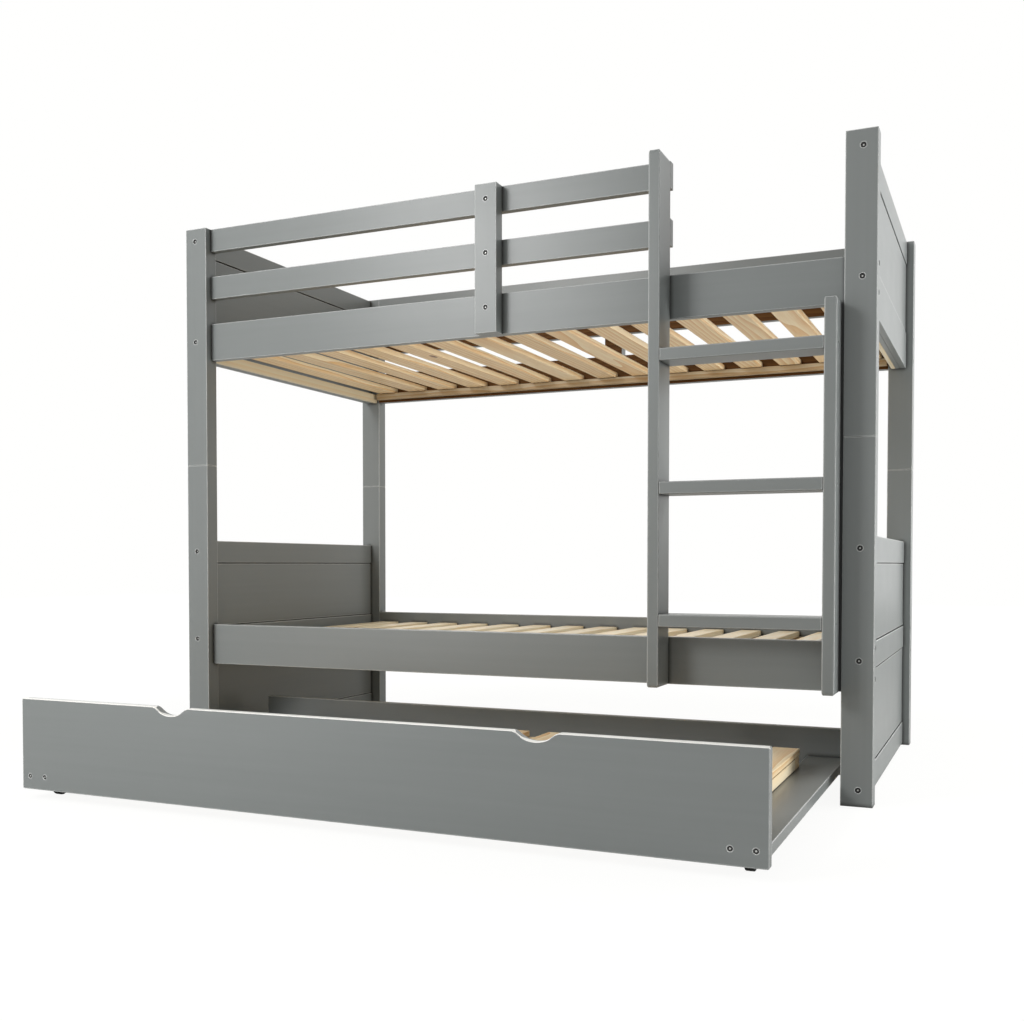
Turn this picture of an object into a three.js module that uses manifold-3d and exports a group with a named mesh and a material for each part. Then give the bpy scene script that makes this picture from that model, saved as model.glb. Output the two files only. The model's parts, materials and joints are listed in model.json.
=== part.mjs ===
// Bunk bed: two slatted berths, guard rails on both long sides, a fixed ladder, and a low trundle bed on
// castors that rolls out from under the lower berth. Lengths are in millimetres. X runs along the bed, Y
// from front to back and Z up. The trundle is modelled drawn out. The origin is on the floor, under the
// middle of the whole outline.

import * as THREE from 'three';
import { mergeVertices } from 'three/addons/utils/BufferGeometryUtils.js';
import Module from 'manifold-3d';

const wasm = await Module();
wasm.setup();

// Mattress that each berth takes
const mattressLength = 2000;
const mattressWidth = 1000;

// Gap left between two seated pieces
const seatGap = 0.3;
// How far a slat or a bearer of one glued deck sinks into the piece it is glued to
const glueLap = 1;
// End chamfer of a board as a share of the radius on its long edges
const endChamferShare = 0.6;

// Posts, in two lengths joined by a dowel
const postWidth = 77;
const postDepth = 48;
const postRound = 3;
const lowerPostHeight = 902;
const upperPostHeight = 738;
const dowelRadius = 6;
const dowelLength = 80;
const dowelChamfer = 1;

// Side rails, set back from the faces of the posts
const railThickness = 25;
const railRecess = 24;
const railRound = 3;
const lowerRailBottom = 278;
const lowerRailHeight = 124;
// Height of the upper rails over the joint between the two lengths of post
const upperRailLift = 329;
const upperRailHeight = 114;

// Guard rails and their uprights
const guardHeight = 70;
const uprightWidth = 66;
const uprightThickness = 40;
const uprightFromMiddle = 7.5;
const uprightBoltLow = 75;

// End frames: grooved rails with flat panels housed between them
const endRecess = 22;
const endThickness = 18;
const endRound = 2;
const endRailHeight = 70;
const lowerEndTop = 667;
const lowerEndMiddleBottom = 322;
const lowerEndBottom = 6;
const upperEndDrop = 4;
const grooveDepth = 9;
const tongueThickness = 6;
const fieldThickness = 13;
const shadowGap = 3.5;

// Bolt holes, counterbored into the faces of the posts and the uprights
const boltHoleRadius = 5.5;
const boltHoleDepth = 5;
const endBoltFromEdge = 35;
const upperSideBoltLow = 22;
const upperSideBoltSpacing = 71;
const lowerSideBoltLow = 33;
const lowerSideBoltSpacing = 76;

// Ladder
const stileWidth = 30;
const stileDepth = 97;
const stileRound = 5;
const stileEndDepth = 9;
const stileEndInset = 4.5;
const stileDrop = 1;
const ladderPostGap = 6;
const ladderClearWidth = 406;
const rungThickness = 32;
const rungRound = 5;
const rungCount = 3;
const topRungDrop = 91;
const lowestRungTop = 465;

// Slats and the battens they are fixed to
const slatWidth = 68;
const slatThickness = 18;
const slatEase = 2;
const berthSlatCount = 15;
const berthSlatFromEnd = 54;
const battenWidth = 24;
const battenHeight = 24;
const battenEndGap = 2;
const lowerBattenLift = 46;
const upperBattenLift = 10;

// Trundle
const trundleSideGap = 24;
const trundleDrawnOut = 778;
const trundleFloorGap = 25;
const trundleTopGap = 24;
const frontPanelThickness = 22;
const panelRound = 3;
const panelCornerRound = 5;
const backPanelTop = 150;
const backPanelThickness = 20;
const scoopWidth = 108;
const scoopDepth = 20;
const scoopFromEnd = 472;
// Handles of the scoop's curve, as shares of its width
const scoopShoulderShare = 0.14;
const scoopBottomShare = 0.31;
const endBoardWidth = 100;
const endBoardThickness = 25;
const trundleSlatCount = 14;
const trundleSlatThickness = 17;
const trundleSlatLength = 820;
const trundleDeckFromEnd = 89;
const bearerWidth = 57;
const bearerHeight = 32;
const endBattenWidth = 34;
const endBattenBackGap = 95;

// Castors, fixed so that they roll front to back
const wheelRadius = 20;
const wheelWidth = 20;
const treadRound = 3;
const hubRadius = 8;
const hubStep = 1.5;
const axleRadius = 3;
const axleClearance = 0.3;
const forkPlateThickness = 3;
const forkPlateLength = 46;
const cheekThickness = 2.5;
const cheekGap = 0.8;
const cheekNoseRadius = 7;
const castorFromFace = 75;

// Divisions of each kind of curve. A quarter round gets twice the corner's number of sides.
const cornerDivisions = 1;
const stileEndDivisions = 2;
const noseDivisions = 3;
const scoopDivisions = 8;
const holeSides = 12;
const wheelSides = 24;

// Lengths that follow from the ones above
const endInset = endRecess + endThickness;
const bedLength = mattressLength + 2 * endInset;
const bedWidth = mattressWidth + 2 * (railRecess + railThickness);
const bedHeight = lowerPostHeight + upperPostHeight;
const railLength = bedLength - 2 * postWidth;
const upperRailBottom = lowerPostHeight + upperRailLift;
const upperRailTop = upperRailBottom + upperRailHeight;
const guardGap = (bedHeight - upperRailTop - 2 * guardHeight) / 2;
const uprightLeft = bedLength / 2 + uprightFromMiddle - uprightWidth / 2;
const frontRailBack = railRecess + railThickness;
const backRailFront = bedWidth - frontRailBack;
const rightStileLeft = bedLength - postWidth - ladderPostGap - stileWidth;
const leftStileLeft = rightStileLeft - ladderClearWidth - stileWidth;
const stileFront = railRecess - stileDepth;
const stileBottom = lowerRailBottom - stileDrop;
const topRungTop = upperRailBottom - topRungDrop;
const rungSpacing = (topRungTop - lowestRungTop) / (rungCount - 1);
const trundleLength = railLength - 2 * trundleSideGap;
const frontPanelTop = lowerRailBottom - trundleTopGap;
const trundleDepth = mattressWidth + 2 * railThickness;
const trundleLeft = postWidth + trundleSideGap;
const trundleFront = railRecess - trundleDrawnOut;
const trundleBack = trundleFront + trundleDepth;
const castorHeight = 2 * wheelRadius + cheekGap + forkPlateThickness + forkPlateThickness;
const endBoardBottom = castorHeight;
const endBoardTop = endBoardBottom + endBoardThickness;
const backmost = bedWidth - railRecess + seatGap + uprightThickness;

// Finishes
const greyPaint = new THREE.MeshStandardMaterial({ color: 0x868b8b, roughness: 0.42, metalness: 0 });
const pine = new THREE.MeshStandardMaterial({ color: 0xd9b98a, roughness: 0.6, metalness: 0 });
const beech = new THREE.MeshStandardMaterial({ color: 0xc29a6b, roughness: 0.6, metalness: 0 });
const blackPlastic = new THREE.MeshStandardMaterial({ color: 0x202122, roughness: 0.5, metalness: 0 });
const zincSteel = new THREE.MeshStandardMaterial({ color: 0x9a9c9c, roughness: 0.35, metalness: 0.9 });

// Turns that lay a shape drawn flat so that its extrusion runs along X, along Y or up
const runAlong = {
    x: new THREE.Matrix4().set(0, 0, 1, 0, 1, 0, 0, 0, 0, 1, 0, 0, 0, 0, 0, 1),
    y: new THREE.Matrix4().set(0, 1, 0, 0, 0, 0, 1, 0, 1, 0, 0, 0, 0, 0, 0, 1),
    z: new THREE.Matrix4(),
};

// A closed mesh as a solid for cutting and joining, and back again
function toSolid(geometry) {
    const plain = geometry.clone();
    plain.deleteAttribute('normal');
    plain.deleteAttribute('uv');
    const merged = mergeVertices(plain);
    return new wasm.Manifold(new wasm.Mesh({
        numProp: 3,
        vertProperties: merged.attributes.position.array,
        triVerts: new Uint32Array(merged.index.array),
    }));
}

function toGeometry(solid) {
    const mesh = solid.getMesh();
    const geometry = new THREE.BufferGeometry();
    const positions = new Float32Array(mesh.vertProperties);
    geometry.setAttribute('position', new THREE.BufferAttribute(positions, mesh.numProp));
    geometry.setIndex(new THREE.BufferAttribute(new Uint32Array(mesh.triVerts), 1));
    geometry.computeVertexNormals();
    return geometry;
}

// A rectangle from the origin with rounded corners
function roundedRectangle(width, height, radius) {
    const shape = new THREE.Shape();
    shape.moveTo(radius, 0);
    shape.absarc(width - radius, radius, radius, -Math.PI / 2, 0);
    shape.absarc(width - radius, height - radius, radius, 0, Math.PI / 2);
    shape.absarc(radius, height - radius, radius, Math.PI / 2, Math.PI);
    shape.absarc(radius, radius, radius, Math.PI, 3 * Math.PI / 2);
    return shape;
}

// A section drawn first that runs along the named axis from the origin
function extruded(section, length, axis, curveSegments = cornerDivisions) {
    const options = { depth: length, bevelEnabled: false, curveSegments };
    return new THREE.ExtrudeGeometry(section, options).applyMatrix4(runAlong[axis]);
}

// A slat or a batten: a sawn strip whose long edges are only broken
function strip(width, height, length, axis) {
    const section = new THREE.Shape();
    section.moveTo(slatEase, 0);
    section.lineTo(width - slatEase, 0);
    section.lineTo(width, slatEase);
    section.lineTo(width, height - slatEase);
    section.lineTo(width - slatEase, height);
    section.lineTo(slatEase, height);
    section.lineTo(0, height - slatEase);
    section.lineTo(0, slatEase);
    return extruded(section, length, axis);
}

// How both ends of a board are worked: how far the shape reaches along the board, how far it goes in from
// the faces, and its number of facets
function endShape(depth, inset, facets) {
    return { depth, inset, facets };
}

// A planed board with rounded long edges and chamfered or rounded ends. Width and height are the sides of
// its section, in the order Y, Z for a board along X, Z, X for one along Y and X, Y for one that stands.
function board(width, height, length, radius, axis, end = null) {
    const chamfer = radius * endChamferShare;
    const shape = end ?? endShape(chamfer, chamfer, 1);
    const geometry = new THREE.ExtrudeGeometry(roundedRectangle(width, height, radius), {
        depth: length - 2 * shape.depth,
        bevelEnabled: true,
        bevelThickness: shape.depth,
        bevelSize: shape.inset,
        bevelOffset: -shape.inset,
        bevelSegments: shape.facets,
        curveSegments: cornerDivisions,
    });
    return geometry.translate(0, 0, shape.depth).applyMatrix4(runAlong[axis]);
}

// A round cutter or pin centred on a point, with its length along the named axis
function cylinder(radius, length, axis, x, y, z) {
    const geometry = new THREE.CylinderGeometry(radius, radius, length, holeSides);
    if (axis === 'x') geometry.rotateZ(Math.PI / 2);
    if (axis === 'z') geometry.rotateX(Math.PI / 2);
    return toSolid(geometry.translate(x, y, z));
}

// A counterbore that goes in by the bolt's depth from a face at the given place along its axis
function boltHole(axis, x, y, z) {
    return cylinder(boltHoleRadius, 2 * boltHoleDepth, axis, x, y, z);
}

function cutAll(geometry, cutters) {
    let solid = toSolid(geometry);
    for (const cutter of cutters) solid = solid.subtract(cutter);
    return toGeometry(solid);
}

function place(group, name, geometry, material, x, y, z) {
    const mesh = new THREE.Mesh(geometry, material);
    mesh.name = name;
    mesh.position.set(x, y, z);
    group.add(mesh);
    return mesh;
}

// The four corners of the bed. outward is -1 or 1 along X and Y, towards the outside of that corner.
const corners = [
    { name: 'front_left', x: 0, y: 0, outwardX: -1, outwardY: -1 },
    { name: 'front_right', x: bedLength - postWidth, y: 0, outwardX: 1, outwardY: -1 },
    { name: 'back_left', x: 0, y: bedWidth - postDepth, outwardX: -1, outwardY: 1 },
    { name: 'back_right', x: bedLength - postWidth, y: bedWidth - postDepth, outwardX: 1, outwardY: 1 },
];

// One length of post: bolt holes for the end frame in its front or back face, bolt holes for the side rail
// in its outer side, and a blind hole for the dowel at the joint between the two lengths
function postLength(corner, height, base, dowelEnd, endBoltHeights, sideBoltHeights) {
    const faceY = corner.outwardY < 0 ? 0 : postDepth;
    const sideX = corner.outwardX < 0 ? 0 : postWidth;
    const endBoltX = corner.outwardX < 0 ? endBoltFromEdge : postWidth - endBoltFromEdge;
    const railMiddle = railRecess + railThickness / 2;
    const sideBoltY = corner.outwardY < 0 ? railMiddle : postDepth - railMiddle;
    const cutters = [];
    for (const z of endBoltHeights) cutters.push(boltHole('y', endBoltX, faceY, z - base));
    for (const z of sideBoltHeights) cutters.push(boltHole('x', sideX, sideBoltY, z - base));
    const dowelHoleLength = dowelLength + 2 * seatGap;
    const middleX = postWidth / 2;
    const middleY = postDepth / 2;
    cutters.push(cylinder(dowelRadius + seatGap, dowelHoleLength, 'z', middleX, middleY, dowelEnd));
    return cutAll(board(postWidth, postDepth, height, postRound, 'z'), cutters);
}

function buildPosts(bed) {
    const upperEndTop = bedHeight - upperEndDrop;
    const lowerEndBolts = [
        lowerEndBottom + endRailHeight / 2,
        lowerEndMiddleBottom + endRailHeight / 2,
        lowerEndTop - endRailHeight / 2,
    ];
    const lowerSideBolts = [
        lowerRailBottom + lowerSideBoltLow,
        lowerRailBottom + lowerSideBoltLow + lowerSideBoltSpacing,
    ];
    const upperEndBolts = [upperRailBottom + upperRailHeight / 2, upperEndTop - endRailHeight / 2];
    const upperSideBolts = [
        upperRailBottom + upperSideBoltLow,
        upperRailBottom + upperSideBoltLow + upperSideBoltSpacing,
    ];
    const upperBase = lowerPostHeight + seatGap;
    const upperHeight = upperPostHeight - seatGap;
    for (const corner of corners) {
        const lower = postLength(corner, lowerPostHeight, 0, lowerPostHeight, lowerEndBolts, lowerSideBolts);
        place(bed, 'lower_post_' + corner.name, lower, greyPaint, corner.x, corner.y, 0);
        const upper = postLength(corner, upperHeight, upperBase, 0, upperEndBolts, upperSideBolts);
        place(bed, 'upper_post_' + corner.name, upper, greyPaint, corner.x, corner.y, upperBase);
        const dowel = new THREE.LatheGeometry([
            new THREE.Vector2(0, 0),
            new THREE.Vector2(dowelRadius - dowelChamfer, 0),
            new THREE.Vector2(dowelRadius, dowelChamfer),
            new THREE.Vector2(dowelRadius, dowelLength - dowelChamfer),
            new THREE.Vector2(dowelRadius - dowelChamfer, dowelLength),
            new THREE.Vector2(0, dowelLength),
        ], holeSides).rotateX(Math.PI / 2);
        place(bed, 'post_dowel_' + corner.name, dowel, beech,
            corner.x + postWidth / 2, corner.y + postDepth / 2, lowerPostHeight - dowelLength / 2);
    }
}

// Section of an end rail, height first, with a groove in its top edge, its bottom edge or both
function groovedSection(height, grooveBelow, grooveAbove) {
    const low = (endThickness - tongueThickness) / 2 - seatGap;
    const high = endThickness - low;
    const depth = grooveDepth + seatGap;
    const shape = new THREE.Shape();
    shape.moveTo(endRound, 0);
    shape.absarc(height - endRound, endRound, endRound, -Math.PI / 2, 0);
    if (grooveAbove) {
        shape.lineTo(height, low);
        shape.lineTo(height - depth, low);
        shape.lineTo(height - depth, high);
        shape.lineTo(height, high);
    }
    shape.absarc(height - endRound, endThickness - endRound, endRound, 0, Math.PI / 2);
    shape.absarc(endRound, endThickness - endRound, endRound, Math.PI / 2, Math.PI);
    if (grooveBelow) {
        shape.lineTo(0, high);
        shape.lineTo(depth, high);
        shape.lineTo(depth, low);
        shape.lineTo(0, low);
    }
    shape.absarc(endRound, endRound, endRound, Math.PI, 3 * Math.PI / 2);
    return shape;
}

// Section of a housed panel, height first: a thick field with a thinner tongue above and below it. The
// tongues leave a narrow shadow line between the field and the rails.
function panelSection(openingHeight) {
    const fieldLow = (endThickness - fieldThickness) / 2;
    const fieldHigh = endThickness - fieldLow;
    const tongueLow = (endThickness - tongueThickness) / 2;
    const tongueHigh = endThickness - tongueLow;
    const shape = new THREE.Shape();
    shape.moveTo(-grooveDepth, tongueLow);
    shape.lineTo(shadowGap, tongueLow);
    shape.lineTo(shadowGap, fieldLow);
    shape.lineTo(openingHeight - shadowGap, fieldLow);
    shape.lineTo(openingHeight - shadowGap, tongueLow);
    shape.lineTo(openingHeight + grooveDepth, tongueLow);
    shape.lineTo(openingHeight + grooveDepth, tongueHigh);
    shape.lineTo(openingHeight - shadowGap, tongueHigh);
    shape.lineTo(openingHeight - shadowGap, fieldHigh);
    shape.lineTo(shadowGap, fieldHigh);
    shape.lineTo(shadowGap, tongueHigh);
    shape.lineTo(-grooveDepth, tongueHigh);
    return shape;
}

// The two ends of the bed, each a stack of rails and panels between its front and its back post
function buildEndFrames(bed) {
    const length = bedWidth - 2 * postDepth - 2 * seatGap;
    const y = postDepth + seatGap;
    const upperTop = bedHeight - upperEndDrop;
    const lowerMiddleTop = lowerEndMiddleBottom + endRailHeight;
    const lowerBottomTop = lowerEndBottom + endRailHeight;
    const height = endRailHeight;
    const rightEndX = bedLength - endRecess - endThickness;
    const ends = [{ name: 'left', x: endRecess }, { name: 'right', x: rightEndX }];
    const rails = [
        { name: 'upper_end_top_rail', bottom: upperTop - height, height, below: true },
        { name: 'upper_end_bottom_rail', bottom: upperRailBottom, height: upperRailHeight, above: true },
        { name: 'lower_end_top_rail', bottom: lowerEndTop - height, height, below: true },
        { name: 'lower_end_middle_rail', bottom: lowerEndMiddleBottom, height, below: true, above: true },
        { name: 'lower_end_bottom_rail', bottom: lowerEndBottom, height, above: true },
    ];
    const panels = [
        { name: 'upper_end_panel', bottom: upperRailTop, top: upperTop - endRailHeight },
        { name: 'lower_end_upper_panel', bottom: lowerMiddleTop, top: lowerEndTop - endRailHeight },
        { name: 'lower_end_lower_panel', bottom: lowerBottomTop, top: lowerEndMiddleBottom },
    ];
    for (const end of ends) {
        for (const rail of rails) {
            const section = groovedSection(rail.height, rail.below, rail.above);
            const solid = extruded(section, length, 'y');
            place(bed, rail.name + '_' + end.name, solid, greyPaint, end.x, y, rail.bottom);
        }
        for (const panel of panels) {
            const solid = extruded(panelSection(panel.top - panel.bottom), length, 'y');
            place(bed, panel.name + '_' + end.name, solid, greyPaint, end.x, y, panel.bottom);
        }
    }
}

// Side rails between the posts, front and back
function buildSideRails(bed) {
    const length = railLength - 2 * seatGap;
    const x = postWidth + seatGap;
    const levels = [
        { name: 'lower_side_rail', bottom: lowerRailBottom, height: lowerRailHeight },
        { name: 'upper_side_rail', bottom: upperRailBottom, height: upperRailHeight },
    ];
    for (const level of levels) {
        const make = () => board(railThickness, level.height, length, railRound, 'x');
        place(bed, level.name + '_front', make(), greyPaint, x, railRecess, level.bottom);
        place(bed, level.name + '_back', make(), greyPaint, x, backRailFront, level.bottom);
    }
}

// Guard rails. The front ones end behind the ladder's left stile, and the back ones run from post to post.
function buildGuards(bed) {
    const x = postWidth + seatGap;
    const frontLength = leftStileLeft + stileWidth - x;
    const backLength = railLength - 2 * seatGap;
    const topBottom = bedHeight - guardHeight;
    const middleBottom = topBottom - guardGap - guardHeight;
    const uprightHeight = bedHeight - upperRailBottom;
    const rows = [{ name: 'top_rail', bottom: topBottom }, { name: 'middle_rail', bottom: middleBottom }];
    const rail = (length) => board(railThickness, guardHeight, length, railRound, 'x');
    for (const row of rows) {
        place(bed, 'guard_front_' + row.name, rail(frontLength), greyPaint, x, railRecess, row.bottom);
        place(bed, 'guard_back_' + row.name, rail(backLength), greyPaint, x, backRailFront, row.bottom);
    }
    const boltHeights = [upperRailBottom + uprightBoltLow];
    for (const row of rows) boltHeights.push(row.bottom + guardHeight / 2);
    const boltX = uprightWidth / 2;
    const upright = (faceY) => {
        const cutters = boltHeights.map((z) => boltHole('y', boltX, faceY, z - upperRailBottom));
        return cutAll(board(uprightWidth, uprightThickness, uprightHeight, postRound, 'z'), cutters);
    };
    place(bed, 'guard_front_upright', upright(0), greyPaint,
        uprightLeft, railRecess - uprightThickness - seatGap, upperRailBottom);
    place(bed, 'guard_back_upright', upright(uprightThickness), greyPaint,
        uprightLeft, bedWidth - railRecess + seatGap, upperRailBottom);
}

// Ladder: two stiles against the faces of the rails, with flat treads between them
function buildLadder(bed) {
    const y = stileFront - seatGap;
    const leftHeight = bedHeight - stileBottom;
    const rightHeight = upperRailBottom - stileBottom;
    const end = endShape(stileEndDepth, stileEndInset, stileEndDivisions);
    const stile = (height) => board(stileWidth, stileDepth, height, stileRound, 'z', end);
    place(bed, 'ladder_left_stile', stile(leftHeight), greyPaint, leftStileLeft, y, stileBottom);
    place(bed, 'ladder_right_stile', stile(rightHeight), greyPaint, rightStileLeft, y, stileBottom);
    const x = leftStileLeft + stileWidth + seatGap;
    const length = ladderClearWidth - 2 * seatGap;
    for (let i = 0; i < rungCount; i += 1) {
        const z = topRungTop - rungThickness - i * rungSpacing;
        const rung = board(stileDepth, rungThickness, length, rungRound, 'x');
        place(bed, 'ladder_rung_' + (rungCount - i), rung, greyPaint, x, y, z);
    }
}

// Slats across a berth, glued to a batten along each side rail
function berthDeck() {
    const battenLength = mattressLength - 2 * battenEndGap;
    const slatLength = mattressWidth - 2 * seatGap;
    const pitch = (battenLength - 2 * berthSlatFromEnd - slatWidth) / (berthSlatCount - 1);
    const batten = () => strip(battenWidth, battenHeight, battenLength, 'x');
    let deck = toSolid(batten()).add(toSolid(batten().translate(0, slatLength - battenWidth, 0)));
    for (let i = 0; i < berthSlatCount; i += 1) {
        const slat = strip(slatThickness, slatWidth, slatLength, 'y');
        slat.translate(berthSlatFromEnd + i * pitch, 0, battenHeight - glueLap);
        deck = deck.add(toSolid(slat));
    }
    return toGeometry(deck);
}

function buildDecks(bed) {
    const x = endInset + battenEndGap;
    const y = frontRailBack + seatGap;
    place(bed, 'lower_slat_deck', berthDeck(), pine, x, y, lowerRailBottom + lowerBattenLift);
    place(bed, 'upper_slat_deck', berthDeck(), pine, x, y, upperRailBottom + upperBattenLift);
}

// Outline of the trundle's front panel: round corners, and a finger scoop near each end of its top edge
function frontPanelOutline(height) {
    const round = panelCornerRound;
    const shape = new THREE.Shape();
    shape.moveTo(round, 0);
    shape.lineTo(trundleLength - round, 0);
    shape.quadraticCurveTo(trundleLength, 0, trundleLength, round);
    shape.lineTo(trundleLength, height - round);
    shape.quadraticCurveTo(trundleLength, height, trundleLength - round, height);
    for (const middle of [trundleLength - scoopFromEnd, scoopFromEnd]) {
        const right = middle + scoopWidth / 2;
        const left = middle - scoopWidth / 2;
        const shoulder = scoopWidth * scoopShoulderShare;
        const bottom = scoopWidth * scoopBottomShare;
        const floor = height - scoopDepth;
        shape.lineTo(right, height);
        shape.bezierCurveTo(right - shoulder, height, middle + bottom, floor, middle, floor);
        shape.bezierCurveTo(middle - bottom, floor, left + shoulder, height, left, height);
    }
    shape.lineTo(round, height);
    shape.quadraticCurveTo(0, height, 0, height - round);
    shape.lineTo(0, round);
    shape.quadraticCurveTo(0, 0, round, 0);
    return shape;
}

// The trundle's slats on three lengthwise bearers, with a batten under the slat at each end
function trundleDeck() {
    const length = trundleLength - 2 * trundleDeckFromEnd;
    const pitch = (length - slatWidth) / (trundleSlatCount - 1);
    const bearerTop = bearerHeight;
    let deck = null;
    for (const y of [0, (trundleSlatLength - bearerWidth) / 2, trundleSlatLength - bearerWidth]) {
        const bearer = toSolid(strip(bearerWidth, bearerHeight, length, 'x').translate(0, y, 0));
        deck = deck ? deck.add(bearer) : bearer;
    }
    const endBattenLength = trundleSlatLength - 2 * bearerWidth - endBattenBackGap + 2 * glueLap;
    for (const x of [0, length - endBattenWidth]) {
        const endBatten = strip(bearerHeight, endBattenWidth, endBattenLength, 'y');
        deck = deck.add(toSolid(endBatten.translate(x, bearerWidth - glueLap, 0)));
    }
    for (let i = 0; i < trundleSlatCount; i += 1) {
        const slat = strip(trundleSlatThickness, slatWidth, trundleSlatLength, 'y');
        deck = deck.add(toSolid(slat.translate(i * pitch, 0, bearerTop - glueLap)));
    }
    return toGeometry(deck);
}

function buildTrundle(bed) {
    const frontHeight = frontPanelTop - trundleFloorGap;
    const backHeight = backPanelTop - trundleFloorGap;
    const chamfer = panelRound * endChamferShare;
    const front = new THREE.ExtrudeGeometry(frontPanelOutline(frontHeight), {
        depth: frontPanelThickness - 2 * chamfer,
        bevelEnabled: true,
        bevelThickness: chamfer,
        bevelSize: chamfer,
        bevelOffset: -chamfer,
        bevelSegments: 1,
        curveSegments: scoopDivisions,
    });
    front.rotateX(Math.PI / 2).translate(0, frontPanelThickness - chamfer, 0);
    place(bed, 'trundle_front_panel', front, greyPaint, trundleLeft, trundleFront, trundleFloorGap);
    place(bed, 'trundle_back_panel', board(backPanelThickness, backHeight, trundleLength, panelRound, 'x'),
        greyPaint, trundleLeft, trundleBack - backPanelThickness, trundleFloorGap);

    const boardY = trundleFront + frontPanelThickness + seatGap;
    const boardLength = trundleDepth - frontPanelThickness - backPanelThickness - 2 * seatGap;
    const endBoard = () => board(endBoardThickness, endBoardWidth, boardLength, panelRound, 'y');
    const rightBoardX = trundleLeft + trundleLength - endBoardWidth;
    place(bed, 'trundle_end_board_left', endBoard(), greyPaint, trundleLeft, boardY, endBoardBottom);
    place(bed, 'trundle_end_board_right', endBoard(), greyPaint, rightBoardX, boardY, endBoardBottom);
    const deckX = trundleLeft + trundleDeckFromEnd;
    place(bed, 'trundle_slat_deck', trundleDeck(), pine, deckX, boardY, endBoardTop + seatGap);
}

// Fork of a castor: a flat plate, two cheeks with round noses and the axle riveted through them. The middle
// of the axle is at the origin.
function castorFork() {
    const cheekInner = wheelWidth / 2 + cheekGap;
    const cheekTop = castorHeight - wheelRadius - forkPlateThickness - seatGap;
    const plateWidth = 2 * (cheekInner + cheekThickness);
    const cheek = new THREE.Shape();
    cheek.moveTo(-forkPlateLength / 2, cheekTop + glueLap);
    cheek.lineTo(-cheekNoseRadius, 0);
    cheek.absarc(0, 0, cheekNoseRadius, Math.PI, 2 * Math.PI);
    cheek.lineTo(forkPlateLength / 2, cheekTop + glueLap);
    const plate = new THREE.BoxGeometry(plateWidth, forkPlateLength, forkPlateThickness);
    plate.translate(0, 0, cheekTop + forkPlateThickness / 2);
    let fork = toSolid(plate).add(cylinder(axleRadius, plateWidth, 'x', 0, 0, 0));
    for (const x of [-cheekInner - cheekThickness, cheekInner]) {
        fork = fork.add(toSolid(extruded(cheek, cheekThickness, 'x', noseDivisions).translate(x, 0, 0)));
    }
    return toGeometry(fork);
}

// Wheel of a castor, turned about X: a rounded tread, a recessed face and a hub round the bore
function castorWheel() {
    const half = wheelWidth / 2;
    const bore = axleRadius + axleClearance;
    const rim = wheelRadius - treadRound;
    const tread = (side, from, to) => new THREE.Path()
        .absarc(rim, side * (half - treadRound), treadRound, from, to, false)
        .getPoints(cornerDivisions);
    const profile = [
        new THREE.Vector2(bore, -half),
        new THREE.Vector2(hubRadius, -half),
        new THREE.Vector2(hubRadius, -half + hubStep),
        new THREE.Vector2(rim - treadRound, -half + hubStep),
        new THREE.Vector2(rim - treadRound, -half),
        ...tread(-1, -Math.PI / 2, 0),
        ...tread(1, 0, Math.PI / 2),
        new THREE.Vector2(rim - treadRound, half),
        new THREE.Vector2(rim - treadRound, half - hubStep),
        new THREE.Vector2(hubRadius, half - hubStep),
        new THREE.Vector2(hubRadius, half),
        new THREE.Vector2(bore, half),
        new THREE.Vector2(bore, -half),
    ];
    return new THREE.LatheGeometry(profile, wheelSides).rotateZ(-Math.PI / 2);
}

function buildCastors(bed) {
    const leftX = trundleLeft + endBoardWidth / 2;
    const rightX = trundleLeft + trundleLength - endBoardWidth / 2;
    const frontY = trundleFront + castorFromFace;
    const backY = trundleBack - castorFromFace;
    const spots = [
        { name: 'front_left', x: leftX, y: frontY },
        { name: 'front_right', x: rightX, y: frontY },
        { name: 'back_left', x: leftX, y: backY },
        { name: 'back_right', x: rightX, y: backY },
    ];
    for (const spot of spots) {
        place(bed, 'castor_fork_' + spot.name, castorFork(), zincSteel, spot.x, spot.y, wheelRadius);
        place(bed, 'castor_wheel_' + spot.name, castorWheel(), blackPlastic, spot.x, spot.y, wheelRadius);
    }
}

const bunkBed = new THREE.Group();
bunkBed.position.set(-bedLength / 2, -(trundleFront + backmost) / 2, 0);
buildPosts(bunkBed);
buildEndFrames(bunkBed);
buildSideRails(bunkBed);
buildGuards(bunkBed);
buildLadder(bunkBed);
buildDecks(bunkBed);
buildTrundle(bunkBed);
buildCastors(bunkBed);

export default bunkBed;
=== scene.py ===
# %% [markdown]
# A bunk bed with a trundle, in two finishes: planed pine under a satin grey paint, and bare slats.
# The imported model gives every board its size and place. This script only dresses it, so each piece is
# made again with softer edges, real fixings and a finish of its own, inside the space its node holds.

# %% Load the fixed frame
import json
import math

import bmesh
import bpy
from mathutils import Matrix, Vector


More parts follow.
